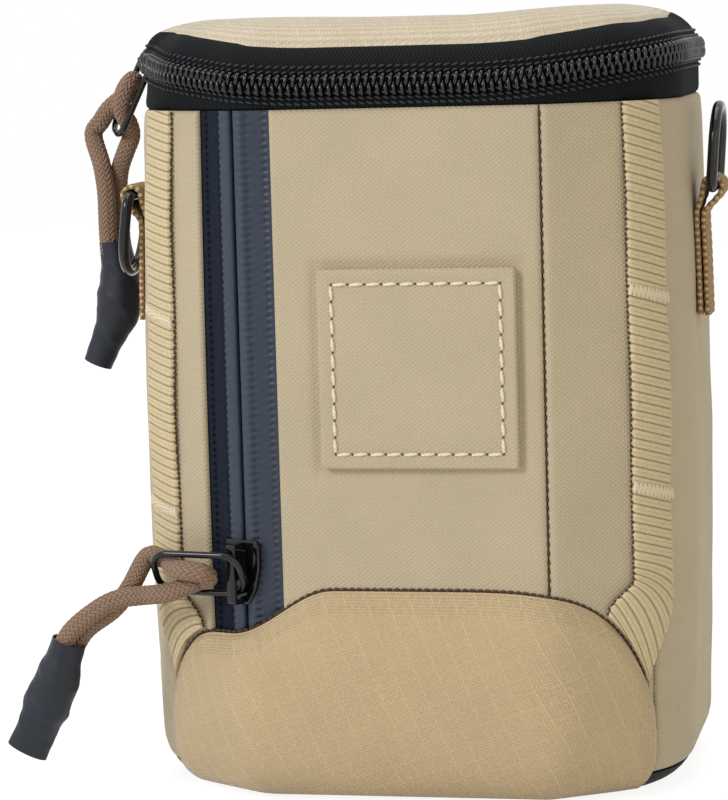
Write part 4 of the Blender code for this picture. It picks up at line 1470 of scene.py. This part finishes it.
class PackPanels(bpy.types.Operator):
    """Cut the coated wall panels with their rolled seams, and the black back and base"""

    bl_idname = "pack.panels"
    bl_label = "Wall panels"

    def execute(self, context):
        roll = sizes().seam_roll
        half = GAP / 2
        rolled = (roll, roll, roll, roll)
        zip_left, zip_right = ZIP_SEAM - POCKET_ZIP_HALF, ZIP_SEAM + POCKET_ZIP_HALF
        coated = [
            ("left_strip", "pocket_left_strip", half - CORNER_SEAM, zip_left, under_toe),
            ("pocket_front", "pocket_panel", zip_right, POCKET_SEAM - half, under_toe),
            ("right_gusset", "pocket_right_gusset", POCKET_SEAM + half, CORNER_SEAM - half, under_toe),
            ("right_side", "right_side_panel", CORNER_SEAM + half, REAR_SEAM - half, base_edge),
            ("left_side", "left_side_panel", half - REAR_SEAM, -CORNER_SEAM - half, base_edge),
        ]
        extras = {
            "left_strip": {"rolls": (roll, ZIP_FOLD, roll, roll)},
            "pocket_front": {
                "rolls": (ZIP_FOLD, roll, roll, roll), "step": PRESSED_STEP, "dent": pressed
            },
        }
        for seed, (name, node, start, end, low) in enumerate(coated, 1):
            more = {"rolls": rolled, "seed": float(seed)} | extras.get(name, {})
            panel(name, start, end, low, body_top, coated_fabric, "tan_fabric", node, **more)
        start, end = REAR_SEAM + half, 2 * HALF_ROUND - REAR_SEAM - half
        panel(
            "back", start, end, base_edge, back_top, black_weave, "black_fabric", "back_panel", rolled, 6.0
        )
        self.base()
        return {"FINISHED"}

    def base(self):
        """The black base: flat underneath, turned up round its edge."""
        around = span(-HALF_ROUND, HALF_ROUND, 0.002)
        rises = [0.0, 0.05, 0.15, 0.3, 0.5, 0.75, 1.0]
        flat = [BASE_RADIUS + 0.02, BASE_RADIUS + 0.004]
        profile = [(inset, 0.0) for inset in flat]
        profile += [(rounding(BASE_RISE * f), BASE_RISE * f) for f in rises]
        profile += [(rounding(BASE_RISE * f) + FABRIC, max(BASE_RISE * f, FABRIC)) for f in (1.0, 0.7, 0.4)]
        profile += [(inset, FABRIC) for inset in reversed(flat)]
        bm = bmesh.new()
        across, up = len(around) - 1, len(profile) - 1
        made = grid(bm, across, up)
        layer = uv_layer(bm)
        for vert in made:
            i, j = cell_of(vert, across, up)
            inset, z = profile[j]
            vert.co = Vector((*plan(around[i], inset)[0], z))
        bmesh.ops.remove_doubles(bm, verts=bm.verts[:], dist=WELD)
        close_holes(bm)
        lay_cloth(bm.faces, layer, flat_spot)
        face_out(bm)
        piece("base", bm, look(black_weave), "pouch", "black_fabric", ["base_panel"])


# Toe cap


def toe_place(s, v, out):
    """The toe cap's cloth at a share v of its height, standing out by a distance."""
    z = TOE_FOOT + (arch(s) - TOE_FOOT) * v
    return wall(s, z, -GAP - out)


class PackToeCap(bpy.types.Operator):
    """Blow up the padded ripstop toe cap between its seams"""

    bl_idname = "pack.toe_cap"
    bl_label = "Toe cap"

    def execute(self, context):
        us = span(-CORNER_SEAM, CORNER_SEAM, 0.0020, 0.0018)
        vs = span(0.0, 1.0, 0.036, 0.03)
        start = {}
        for i, s in enumerate(us):
            for j, v in enumerate(vs):
                pillow = (1.0 - abs(s / CORNER_SEAM) ** 4) * (1.0 - abs(2 * v - 1) ** 2.5)
                start[i, j] = toe_place(s, v, FABRIC + TOE_SWELL * 0.75 * max(pillow, 0.0))
        puffed = self.blow(us, vs, start)

        def place(s, v, side):
            i, j = us.index(s), vs.index(v)
            if side:
                return toe_place(s, v, 0.0)
            edge = min(s + CORNER_SEAM, CORNER_SEAM - s) / TOE_TUCK
            rim = min(edge, v / TOE_TUCK_SHARE, (1.0 - v) / TOE_TUCK_SHARE)
            tuck = FABRIC * 0.9 * (1.0 - smooth(rim))
            return puffed[i, j] - wall_out(s) * tuck

        def cloth(s, v):
            return (s, (arch(s) - TOE_FOOT) * v * TOE_SLACK)

        def border(s, v):
            return min((arch(s) - TOE_FOOT) * (1.0 - v) * TOE_SLACK, CORNER_SEAM - abs(s))

        pad = sheet(us, vs, place, cloth, border)
        toe = piece("toe_pad", pad, look(toe_ripstop), "pouch", "ripstop", ["toe_cap"])
        smoother = toe.modifiers.new("soft", "SUBSURF")
        smoother.levels = 1
        smoother.render_levels = 1
        return {"FINISHED"}

    def blow(self, us, vs, start):
        """Let a cloth sheet with held edges swell by pressure, and return where its corners end."""
        scene = bpy.context.scene
        bm = bmesh.new()
        across, up = len(us) - 1, len(vs) - 1
        grid(bm, across, up)
        keys = [cell_of(vert, across, up) for vert in bm.verts]
        for key, vert in zip(keys, bm.verts):
            vert.co = start[key]
        mesh = bpy.data.meshes.new("toe_work")
        bm.to_mesh(mesh)
        bm.free()
        if sum(polygon.normal.y for polygon in mesh.polygons) > 0:
            mesh.flip_normals()
        work = bpy.data.objects.new("toe_work", mesh)
        scene.collection.objects.link(work)
        held = work.vertex_groups.new(name="held")
        held.add([n for n, (i, j) in enumerate(keys) if i in (0, across) or j in (0, up)], 1.0, "ADD")
        cloth = work.modifiers.new("cloth", "CLOTH")
        settings = cloth.settings
        settings.quality = 6
        settings.mass = 0.1
        settings.tension_stiffness = 12.0
        settings.compression_stiffness = 12.0
        settings.shear_stiffness = 6.0
        settings.bending_stiffness = 0.2
        settings.vertex_group_mass = "held"
        settings.use_pressure = True
        settings.uniform_pressure_force = 5.0
        settings.effector_weights.gravity = 0.0
        cloth.collision_settings.use_collision = False
        cloth.point_cache.frame_start = 1
        cloth.point_cache.frame_end = PUFF_FRAMES
        for number in range(1, PUFF_FRAMES + 1):
            scene.frame_set(number)
        graph = bpy.context.evaluated_depsgraph_get()
        done = work.evaluated_get(graph).to_mesh()
        puffed = {}
        for key, vert in zip(keys, done.vertices):
            move = vert.co - start[key]
            if move.length > PUFF_LIMIT:
                move = move.normalized() * PUFF_LIMIT
            puffed[key] = start[key] + move
        bpy.data.objects.remove(work, do_unlink=True)
        bpy.data.meshes.remove(mesh)
        scene.frame_set(1)
        return puffed


# Lid and lining


def lid_point(s, share, drop):
    """The lid's dome, drawn towards the middle by share and lowered by drop."""
    rim = soft_rim(s)
    point = plan(s, lean(s, rim) + draw_in(s, rim))[0] * max(1.0 - LID_DRAW * share, 0.0)
    saddle = LID_SADDLE * (RIGHT_SADDLE_SHARE if point.x > 0 else LEFT_SADDLE_SHARE)
    ends = saddle * ramp(abs(point.x), SADDLE_RAMP)
    rise = 1.0 - (1.0 - min(share / LID_SHOULDER, 1.0)) ** LID_CURVE
    return Vector((*point, rim + (LID_TOP + ends - rim) * rise - drop))


def dome(around, shares, place):
    """A closed cap: its underside from the middle to the rim, then its top back to the middle."""
    profile = [(share, True) for share in reversed(shares)] + [(share, False) for share in shares]
    bm = bmesh.new()
    across, up = len(around) - 1, len(profile) - 1
    made = grid(bm, across, up)
    layer, border = uv_layer(bm), uv_layer(bm, "Seam")
    gaps = {}
    for vert in made:
        i, j = cell_of(vert, across, up)
        vert.co = place(around[i], *profile[j])
        gaps[vert] = (profile[j][0] * LID_SEAM_RUN, 0.0)
    lay_cloth(bm.faces, border, gaps.get)
    bmesh.ops.remove_doubles(bm, verts=bm.verts[:], dist=WELD)
    bmesh.ops.dissolve_degenerate(bm, dist=FINE_WELD, edges=bm.edges[:])
    lay_cloth(bm.faces, layer, flat_spot)
    face_out(bm)
    return bm


class PackLid(bpy.types.Operator):
    """Stretch the ripstop lid over its padding and line it"""

    bl_idname = "pack.lid"
    bl_label = "Lid"

    def execute(self, context):
        around = span(-HALF_ROUND, HALF_ROUND, 0.0022)
        top = 1 / LID_DRAW
        shares = [0.0, 0.006, 0.014, 0.026, 0.045, 0.07, 0.1, 0.14, 0.19]
        shares += [0.25, 0.33, 0.42, 0.53, 0.66, 0.8, 0.95, top]

        def outer(s, share, under):
            if under:
                return lid_point(s, share, FABRIC + GAP)
            point = lid_point(s, share, bullnose(share * 0.055, LID_RIM_ROLL, FABRIC * 0.9) + GAP)
            wave = ripple(point.x, point.y, 0.028, 8.0)
            point.z += sizes().wrinkle * wave * smooth(share / 0.2) * 0.8
            return point

        lid = dome(around, shares, outer)
        cover = piece("lid_top", lid, look(lid_ripstop_painted_sheen), "lid", "ripstop", ["lid_panel"])
        pad_shares = [PAD_START, 0.14, 0.16, 0.2, 0.3, 0.42, 0.55, 0.7, 0.85, top]
        depth = FABRIC + FOAM + LINING + 2 * GAP

        def inner(s, share, under):
            if not under:
                return lid_point(s, share, FABRIC + 2 * GAP)
            edge = bullnose((share - PAD_START) * 0.06, 0.004, FOAM * 0.9)
            point = lid_point(s, share, depth - edge)
            quilt = sin(point.x * 2 * pi / QUILT) ** 2 * sin(point.y * 2 * pi / QUILT) ** 2
            point.z -= 0.0004 * quilt * smooth((share - 0.2) / 0.2)
            return point

        pad = dome(around, pad_shares, inner)
        soft = piece("lid_padding", pad, look(lining_cloth), "lid", "lining", ["lid_lining", "lid_foam"])
        half = BODY_WIDTH / 2 - BACK_CORNER
        bead = [Vector((f * half, HINGE_Y, HINGE_Z)) for f in span(-1.0, 1.0, 0.05)]
        bm = tube(bead, HINGE_CLEAR, 20)
        piece("hinge_piping", bm, look(black_tape_finish), "pouch", "black_tape", ["hinge_binding"])
        return {"FINISHED"}


def lining_point(u, z, inset):
    """The lined room's wall: u runs from -1 to 1 across the divider, then round the sides and back."""
    sign = 1.0 if u > 0 else -1.0
    if abs(u) > 1.0:
        s = SIDE_START + (abs(u) - 1.0) * (HALF_ROUND - SIDE_START)
        return wall(sign * s, z, ROOM_INSET + inset)
    if abs(u) <= ROOM_CORNER:
        return divider(u, z, FOAM + 2 * GAP + inset)
    front = divider(sign * ROOM_CORNER, z, FOAM + 2 * GAP + inset)
    side = wall(sign * SIDE_START, z, ROOM_INSET + inset)
    return front.lerp(side, (abs(u) - ROOM_CORNER) / (1.0 - ROOM_CORNER))


class PackLining(bpy.types.Operator):
    """Sew the lined room with its padding rolled over at the mouth"""

    bl_idname = "pack.lining"
    bl_label = "Lining"

    def execute(self, context):
        around = [-2.0 + 4.0 * f for f in steps(150)]
        top = BODY_TOP - INNER_DROP
        foot = ROOM_INSET
        heights = [foot + rise for rise in (0.0005, 0.0015, 0.003, 0.006, 0.012)]
        heights += [foot + 0.012 + (top - 0.004 - foot - 0.012) * f for f in steps(36)[1:]]
        mouth = [(top - 0.0025, 0.0001), (top - 0.0012, -0.0002), (top - 0.0004, -0.0009), (top, -0.0020)]
        mouth += [(top, -0.0032), (top - 0.0006, -0.0040)]
        profile = [(None, 0.0)] + [(z, 0.0) for z in heights] + mouth

        def place(u, z, inset):
            if z is None:
                point = lining_point(u, foot + 0.0005, LINING)
                return Vector((point.x * 0.05, point.y * 0.05 + 0.005, foot + 0.0002))
            point = lining_point(u, z, LINING + inset)
            if inset == 0.0:
                quilt = sin(z * 2 * pi / 0.036) ** 2 * sin(u * 2 * pi / 0.5) ** 2
                toward = Vector((-point.x, -point.y, 0.0)).normalized()
                point += toward * 0.0005 * quilt * smooth((z - foot) / 0.02) * smooth((top - z) / 0.02)
            return point

        bm = bmesh.new()
        across, up = len(around) - 1, len(profile) - 1
        made = grid(bm, across, up)
        layer = uv_layer(bm)
        spots = {}
        for vert in made:
            i, j = cell_of(vert, across, up)
            vert.co = place(around[i], *profile[j])
            spots[vert] = (around[i] * 0.1, vert.co.z + (0.0 if profile[j][0] else 0.02))
        lay_cloth(bm.faces, layer, spots.get)
        bmesh.ops.remove_doubles(bm, verts=bm.verts[:], dist=WELD)
        floor = [edge for edge in bm.edges if edge.is_boundary and edge.verts[0].co.z < 0.05]
        bmesh.ops.holes_fill(bm, edges=floor, sides=0)
        bmesh.ops.recalc_face_normals(bm, faces=bm.faces[:])
        lowest = min(bm.faces, key=lambda face: face.calc_center_median().z)
        if lowest.normal.z < 0:
            bmesh.ops.reverse_faces(bm, faces=bm.faces[:])
        tub = piece(
            "room_lining", bm, look(lining_cloth), "pouch", "lining",
            ["lining", "left_foam", "right_foam", "back_foam", "base_foam", "pocket_divider"],
        )
        thick = tub.modifiers.new("wall", "SOLIDIFY")
        thick.thickness = LINING
        thick.offset = -1.0
        return {"FINISHED"}


# Zips

# Each row of thread beside the coil: how far from the chain, and how far out of the wall
COIL_ROWS = [(0.00185, 0.00105), (0.00300, 0.00010), (0.00420, -0.00005)]

# Each row of dimples in the pocket's tapes: how far from the slot, its half width and its depth
DIMPLE_ROWS = [(0.0040, 0.0009, 0.0006), (0.0086, 0.0006, 0.0004)]


def coil_line(start, end, pitch, place, phase, slant):
    """The filament of a zip coil: a flattened helix whose outer leg moves on by only a share of the pitch."""
    per_turn = 12
    points = []
    for k in range(int((end - start) / pitch) * per_turn + 1):
        whole, part = divmod(k, per_turn)
        f = part / per_turn
        run = 2 * f * slant if f < 0.5 else slant + (2 * f - 1) * (1 - slant)
        out = sin(2 * pi * f)
        out = abs(out) ** 0.6 * (1 if out > 0 else -1)
        points.append(place(start + pitch * (whole + run + phase), cos(2 * pi * f), out))
    return points


class PackMainZip(bpy.types.Operator):
    """Sew the main zip: two woven tapes, two coils that mesh, and their stitching"""

    bl_idname = "pack.main_zip"
    bl_label = "Main zip"

    def execute(self, context):
        ends = (GAP / 2 - REAR_SEAM, REAR_SEAM - GAP / 2)
        pitch = sizes().tooth_pitch
        halves = [
            ("lower", "pouch", -1.0, lambda _: BODY_TOP + GAP, lambda s: chain(s) - COIL_SLOT / 2, 0.0),
            ("upper", "lid", 1.0, lambda s: chain(s) + COIL_SLOT / 2, lambda s: soft_rim(s) - GAP, 0.5),
        ]
        for half, body, sign, low, high, phase in halves:
            us = span(*ends, 0.0016, 0.001)
            vs = span(0.0, 1.0, 0.07, 0.12)

            def place(s, v, side):
                foot, head = low(s), high(s)
                z = foot + (head - foot) * v
                if side and sign > 0:
                    return soft_wall(s, z, GAP + TAPE)
                if side:
                    tail = TAPE_TAIL * (1.0 - smooth(v / 0.2))
                    tail *= smooth((abs(s - ZIP_SEAM) - POCKET_ZIP_HALF - LAP) / TAIL_FADE)
                    past = TAPE_PAST * ((s == us[-1]) - (s == us[0]))
                    return soft_wall(s + past, z - tail, FABRIC + GAP)
                seam = (z - foot) if sign < 0 else (head - z)
                inset = GAP + bullnose(seam, TAPE_ROLL, TAPE * 0.85)
                inset += TAPE_WAVE * ripple(s, z, 0.012, 11.0 + sign) * smooth(seam / 0.002)
                return soft_wall(s, z, inset)

            bm = sheet(us, vs, place, lambda s, v: (s, low(s) + (high(s) - low(s)) * v))
            piece(f"{half}_tape", bm, look(black_tape_finish), body, "black_tape", [f"{half}_zip_tape"])

            def tooth(s, reach, out):
                z = chain(s) + sign * (TOOTH_ROOT - TOOTH_REACH * reach)
                return soft_wall(s, z, GAP + TOOTH_SEAT - TOOTH_RISE * (1.0 + out))

            slant = LOWER_SLANT if sign < 0 else UPPER_SLANT
            points = coil_line(ends[0] + COIL_END, ends[1] - COIL_END, pitch, tooth, phase, slant)
            teeth = tube(points, COIL_WIRE, 8)
            face_out(teeth)
            piece(f"{half}_coil", teeth, look(nylon_coil), body, "black_coil", [f"{half}_zip_coil"])
            rows = bmesh.new()
            half_stitch, tilt = pitch * 0.42, sign * COIL_ROW_LEAN
            for k in range(int((ends[1] - ends[0] - 4 * COIL_END) / pitch)):
                s = ends[0] + 2 * COIL_END + pitch * (k + 0.5 + phase)
                for offset, out in COIL_ROWS:
                    z = chain(s) + sign * offset
                    a = soft_wall(s - half_stitch, z - tilt, -out)
                    b = soft_wall(s + half_stitch, z + tilt, -out)
                    stitch(rows, a, b, wall_out(s), COIL_THREAD)
            piece(f"{half}_coil_thread", rows, look(black_thread), body, "black_tape")
        return {"FINISHED"}


class PackPocketZip(bpy.types.Operator):
    """Lay the coated pocket zip: two laminated tapes over their hidden coils"""

    bl_idname = "pack.pocket_zip"
    bl_label = "Pocket zip"

    def execute(self, context):
        tape_in = FABRIC + GAP
        for side, sign in (("left", -1), ("right", 1)):
            near, far = POCKET_SLOT / 2 * 0.75, POCKET_ZIP_HALF + LAP
            marks = [0.0, 0.0002, 0.0005, 0.0009, 0.0014, 0.0020, 0.0026]
            marks += [0.0031, 0.0035, 0.0039, 0.0044, 0.0050, 0.0058, 0.0068]
            marks = [near + m for m in marks] + [0.0082, 0.0088, 0.0094, 0.0098, 0.0102, 0.0108, 0.0118, far]
            us = [sign * m for m in marks]
            vs = steps(420)

            def place(across, v, under):
                s = ZIP_SEAM + across
                foot, head = arch(s) - LAP, BODY_TOP
                z = foot + (head - foot) * v
                if under:
                    return wall(s, z, tape_in + TAPE)
                gap = abs(across)
                ridge = ZIP_RIDGE * hump(gap, RIDGE_AT, RIDGE_HALF)
                lip = bullnose(gap - near, 0.0006, TAPE * 0.9)
                beat = 0.5 + 0.5 * sin(2 * pi * z / BEAT_PITCH + (0.0 if sign > 0 else pi / 2))
                dot = sum(beat * hump(gap, at, half) * depth for at, half, depth in DIMPLE_ROWS)
                return wall(s, z, tape_in - ridge + lip + dot)

            def cloth(across, v):
                foot = arch(ZIP_SEAM + across) - LAP
                return (across, foot + (BODY_TOP - foot) * v)

            bm = sheet(us, vs, place, cloth)
            piece(
                f"pocket_tape_{side}", bm, look(navy_tape_finish), "pouch", "navy_tape",
                [f"pocket_zip_tape_{side}"],
            )
            coil_in = tape_in + TAPE + GAP + COIL / 2
            foot = arch(ZIP_SEAM) - LAP

            def tooth(z, reach, out):
                across = (POCKET_SLOT + COIL) / 2 - POCKET_TOOTH * reach
                return zip_spot(sign * across, -coil_in + POCKET_TOOTH * out, z)

            head = BODY_TOP - POCKET_COIL_TOP
            phase = 0.0 if sign > 0 else 0.5
            points = coil_line(foot, head, POCKET_TOOTH_PITCH, tooth, phase, 0.2)
            teeth = tube(points, POCKET_COIL_WIRE, 8)
            face_out(teeth)
            piece(
                f"pocket_coil_{side}", teeth, look(nylon_coil), "pouch", "black_coil",
                [f"pocket_zip_coil_{side}"],
            )
        return {"FINISHED"}


# Patch, webbing and stitching


class PackPatch(bpy.types.Operator):
    """Sew the bare square patch onto the pocket"""

    bl_idname = "pack.patch"
    bl_label = "Patch"

    def execute(self, context):
        half = PATCH_SIZE / 2
        straight = half - PATCH_CORNER
        us = span(-half, half, 0.0014, 0.0012)

        def spot(x, z, out):
            return Vector((PATCH_X + x, -BODY_DEPTH / 2 - GAP - out, PATCH_Z + z))

        def place(x, z, side):
            edge = half - max(abs(x), abs(z))
            over_x, over_z = abs(x) - straight, abs(z) - straight
            if over_x > 0 and over_z > 0:
                pull = max(hypot(over_x, over_z) / max(over_x, over_z), 1.0)
                x = (straight + over_x / pull) * (1 if x > 0 else -1)
                z = (straight + over_z / pull) * (1 if z > 0 else -1)
            if side:
                return spot(x, z, 0.0)
            out = PATCH_THICK - bullnose(edge, 0.0006, PATCH_THICK * 0.5)
            out -= PATCH_DIMPLE * hump(edge, PATCH_INSET, 0.0008)
            out += PATCH_SWELL * smooth((edge - PATCH_INSET) / 0.012)
            return spot(x, z, out)

        bm = sheet(us, us, place)
        piece("patch_square", bm, look(coated_fabric), "pouch", "tan_fabric", ["patch"])
        line = half - PATCH_INSET
        corners = [(-line, -line), (line, -line), (line, line), (-line, line), (-line, -line)]
        ahead = Vector((0.0, -1.0, 0.0))
        thread = sizes().thread * 1.7
        rows, holes = bmesh.new(), bmesh.new()
        for a, b in zip(corners, corners[1:]):
            ends = [spot(x, z, PATCH_THICK + 0.00002) for x, z in (a, b)]
            sew(rows, ends, lambda _: ahead, sizes().stitch, 0.9, thread, PATCH_STITCH_SLANT)
            # Dark beads sunk at each needle hole paint the shade inside the holes.
            ends = [spot(x, z, PATCH_THICK - 0.00012) for x, z in (a, b)]
            reach = (ends[1] - ends[0]).normalized() * 0.00026
            for hole in even(ends, sizes().stitch):
                stitch(holes, hole - reach, hole + reach, ahead, NEEDLE_HOLE)
        piece("patch_stitches", rows, look(pale_thread), "pouch", "webbing")
        piece("patch_needle_hole_shade", holes, look(dark_thread), "pouch", "tan_fabric")
        return {"FINISHED"}


def tack_height(sign):
    """Height of the lower tack, which isn't sewn level on the two sides."""
    return DAISY_TACK_Z + (RIGHT_TACK_LIFT if sign > 0 else -LEFT_TACK_DROP)


class PackDaisyChains(bpy.types.Operator):
    """Run the ribbed webbing down both front corners with its tacks"""

    bl_idname = "pack.daisy_chains"
    bl_label = "Daisy chains"

    def execute(self, context):
        for side, sign in (("left", -1), ("right", 1)):
            self.chain_of_loops(side, sign)
        return {"FINISHED"}

    def spot(self, sign, across, v, out):
        """A point of the webbing: across it, up it by a share, and out of its underside."""
        middle = CORNER_SEAM - DAISY_AHEAD
        s = middle - DAISY_TURN * (1.0 - smooth(v / DAISY_TURN_SHARE)) + across
        foot = arch(sign * min(middle - DAISY_TURN + across, CORNER_SEAM)) + DAISY_CLEAR
        base = arch(sign * (middle - DAISY_TURN)) + DAISY_CLEAR
        level = base + (BODY_TOP - base) * v
        z = level + (foot - base) * (1.0 - smooth((level - base) / DAISY_LEVEL))
        stand = 0.5 * DAISY_STAND * sin(pi * (z - tack_height(sign)) / DAISY_PITCH) ** 2
        return wall(sign * s, z, -GAP - stand - out)

    def chain_of_loops(self, side, sign):
        base = arch(sign * (CORNER_SEAM - DAISY_AHEAD - DAISY_TURN)) + DAISY_CLEAR
        ribs = round((BODY_TOP - base) / sizes().rib_pitch)
        thick = WEBBING * 0.85
        edge = [0.0, 0.02, 0.05, 0.09]
        marks = edge + [0.13 + 0.74 * f for f in steps(20)] + [1.0 - e for e in reversed(edge)]
        slope = RIGHT_RIB_SLOPE if sign > 0 else LEFT_RIB_SLOPE

        def count_ribs(f, v):
            return v * ribs + slope * (f - 0.5)

        def place(f, v, under):
            beat = count_ribs(f, v)
            wave = abs(sin(pi * beat)) ** 0.5
            wide = DAISY_WIDTH / 2 + 0.00055 * (wave - 0.6)
            wave -= 0.45 * hump(beat % 1.0, 0.5, 0.10)
            across = (2 * f - 1) * wide
            gap = (0.5 - abs(f - 0.5)) * 2 * wide
            if under:
                return self.spot(sign, across, v, 0.00005)
            out = thick * (0.74 + 0.26 * wave) - bullnose(gap, 0.0008, thick * 0.55)
            return self.spot(sign, across, v, out)

        def cloth(f, v):
            return ((f - 0.5) * DAISY_WIDTH, count_ribs(f, v) * sizes().rib_pitch)

        bm = sheet(marks, steps(ribs * 12), place, cloth)
        piece(
            f"daisy_{side}", bm, look(ribbed_webbing), "pouch", "webbing", [f"daisy_chain_{side}"], 80.0
        )
        tacks = bmesh.new()
        face = wall_out(sign * (CORNER_SEAM - DAISY_AHEAD))
        for k in (0, 1):
            v = (tack_height(sign) + DAISY_PITCH * k - base) / (BODY_TOP - base)
            rise = TACK_HEIGHT / (BODY_TOP - base)
            tilt = TACK_TILT * sign / (BODY_TOP - base)
            ends = []
            for n in range(2 * TACK_TURNS + 1):
                across = (n / 2 / TACK_TURNS - 0.5) * DAISY_WIDTH * 1.02
                share = v + (rise / 2 if n % 2 else -rise / 2)
                ends.append(self.spot(sign, across, share - tilt * across, thick))
            for a, b in zip(ends, ends[1:]):
                stitch(tacks, a, b, face, TACK_THREAD)
        piece(f"daisy_tacks_{side}", tacks, look(tack_thread), "pouch", "webbing")
        # Dark brown stitches along the webbing's inner edge: real edge stitching, made dark to paint the
        # shadow in the gap beside the webbing as well.
        edge_thread_and_shade = bmesh.new()
        line = [self.spot(sign, -DAISY_WIDTH / 2 - 0.0003, v, 0.0002) for v in steps(200)]
        sew(edge_thread_and_shade, line, lambda _: wall_out(sign * (CORNER_SEAM - 0.006)), 0.0012, 0.7, SEAM_THREAD)
        piece(f"daisy_edge_thread_and_shade_{side}", edge_thread_and_shade, look(dark_thread), "pouch", "webbing")


def tab_station():
    return SIDE_START + TAB_Y - SIDE_FRONT_Y


def fold_out():
    return GAP + WEBBING + GAP + RING_WIRE / 2 + TAB_STAND


class PackRingTabs(bpy.types.Operator):
    """Fold the webbing tabs round the D-rings"""

    bl_idname = "pack.ring_tabs"
    bl_label = "Ring tabs"

    def execute(self, context):
        inner = GAP + WEBBING / 2
        outer = inner + WEBBING + GAP
        turn_radius = RING_WIRE / 2 + GAP + WEBBING / 2
        drop = 3.0 * turn_radius
        near, far = fold_out() - turn_radius, fold_out() + turn_radius
        straight = TAB_FOLD - drop - TAB_FOOT
        points = [(inner, TAB_FOOT + straight * f) for f in (0.0, 0.35, 0.7)]
        points += [(near + (inner - near) * smooth(f), TAB_FOLD - drop * f) for f in (1.0, 0.75, 0.5, 0.25)]
        for f in steps(8):
            turn = pi - pi * f
            points.append((fold_out() + turn_radius * cos(turn), TAB_FOLD + turn_radius * sin(turn)))
        points += [(far + (outer - far) * smooth(f), TAB_FOLD - drop * f) for f in (0.25, 0.5, 0.75, 1.0)]
        points += [(outer, TAB_FOLD - drop - straight * f) for f in (0.3, 0.65, 1.0)]
        line = even(route([Vector((*point, 0.0)) for point in points], 6), TAB_STEP)
        edge = [0.0, 0.03, 0.08, 0.15]
        marks = edge + [0.25, 0.42, 0.58, 0.75] + [1.0 - e for e in reversed(edge)]
        for side, sign in (("left", -1), ("right", 1)):

            def place(i, f, under):
                ahead = (line[min(i + 1, len(line) - 1)] - line[max(i - 1, 0)]).normalized()
                gap = (0.5 - abs(f - 0.5)) * TAB_WIDTH
                thick = WEBBING / 2 - bullnose(gap, 0.0008, WEBBING * 0.4)
                wave = abs(sin(pi * i * TAB_STEP / TAB_RIB)) ** 0.7
                thick += 0.00018 * (wave - 1.0)
                spot = line[i] + Vector((-ahead.y, ahead.x, 0.0)) * thick * (-1 if under else 1)
                width = TAB_WIDTH + 0.0003 * (wave - 0.5)
                return wall(sign * (tab_station() + (f - 0.5) * width), spot.y, -spot.x)

            def cloth(i, f):
                return ((f - 0.5) * TAB_WIDTH, i * TAB_STEP)

            bm = sheet(range(len(line)), marks, place, cloth)
            piece(
                f"ring_tab_cloth_{side}", bm, look(speckled_webbing), "pouch", "webbing",
                [f"ring_tab_{side}"], 80.0,
            )
        return {"FINISHED"}


class PackSeams(bpy.types.Operator):
    """Stitch the panel seams with dark thread"""

    bl_idname = "pack.seams"
    bl_label = "Seam stitching"

    def execute(self, context):
        rows = bmesh.new()
        heights = span(arch(POCKET_SEAM) + 0.001, BODY_TOP - 0.001, 0.001)
        line = [wall(POCKET_SEAM, z, 0.0006) for z in heights]
        sew(rows, line, lambda _: wall_out(POCKET_SEAM), 0.0021, 0.72, SEAM_THREAD)
        piece("pocket_seam_stitches", rows, look(dark_thread), "pouch", "tan_fabric")
        # The toe seam's thread is one unbroken dark line, thicker than a stitch, that also paints the shadow
        # in the seam's gap.
        rows = bmesh.new()
        stations = span(-CORNER_SEAM * 0.985, CORNER_SEAM * 0.985, 0.0008)
        line = [wall(s, arch(s) + 0.0004, -0.0001) for s in stations]
        sew(rows, line, lambda _: Vector((0.0, -1.0, 0.2)), 0.0018, 1.0, 0.0008)
        piece("toe_seam_thread_and_shadow_line", rows, look(dark_thread), "pouch", "tan_fabric")
        rows = bmesh.new()
        left, right = BACK_START + 0.003, 2 * HALF_ROUND - BACK_START - 0.003
        low, high = 0.012, BODY_TOP + 0.004
        uprights = [[(s, low + (high - low) * f) for f in steps(60)] for s in (left, right)]
        levels = [[(left + (right - left) * f, z) for f in steps(60)] for z in (low, high)]
        for run in uprights + levels:
            line = [wall(s, z, -0.0002) for s, z in run]
            sew(rows, line, lambda _: Vector((0.0, 1.0, 0.0)), sizes().stitch, 0.86, sizes().thread)
        piece("back_topstitch", rows, look(black_thread), "pouch", "black_fabric")
        return {"FINISHED"}


class PackPanel(bpy.types.Panel):
    """Sizes, colours and steps of the pack"""

    bl_label = "Harness pack"
    bl_idname = "VIEW3D_PT_harness_pack"
    bl_space_type = "VIEW_3D"
    bl_region_type = "UI"
    bl_category = "Pack"

    def draw(self, context):
        layout = self.layout
        for group in (context.scene.pack_sizes, context.scene.pack_colours):
            for key in group.__annotations__:
                layout.prop(group, key)
        for step in STEPS:
            layout.operator(step.bl_idname)


STEPS = (
    PackStage,
    PackPullCords,
    PackWireRings,
    PackSliders,
    PackPanels,
    PackToeCap,
    PackLid,
    PackLining,
    PackMainZip,
    PackPocketZip,
    PackPatch,
    PackDaisyChains,
    PackRingTabs,
    PackSeams,
)
CLASSES = (PackSizes, PackColours) + STEPS + (PackPanel,)


def register():
    for cls in CLASSES:
        bpy.utils.register_class(cls)
    bpy.types.Scene.pack_sizes = PointerProperty(type=PackSizes)
    bpy.types.Scene.pack_colours = PointerProperty(type=PackColours)


def unregister():
    del bpy.types.Scene.pack_colours
    del bpy.types.Scene.pack_sizes
    for cls in reversed(CLASSES):
        bpy.utils.unregister_class(cls)


def main():
    register()
    for step in STEPS:
        group, name = step.bl_idname.split(".")
        getattr(getattr(bpy.ops, group), name)()


if __name__ == "__main__":
    main()
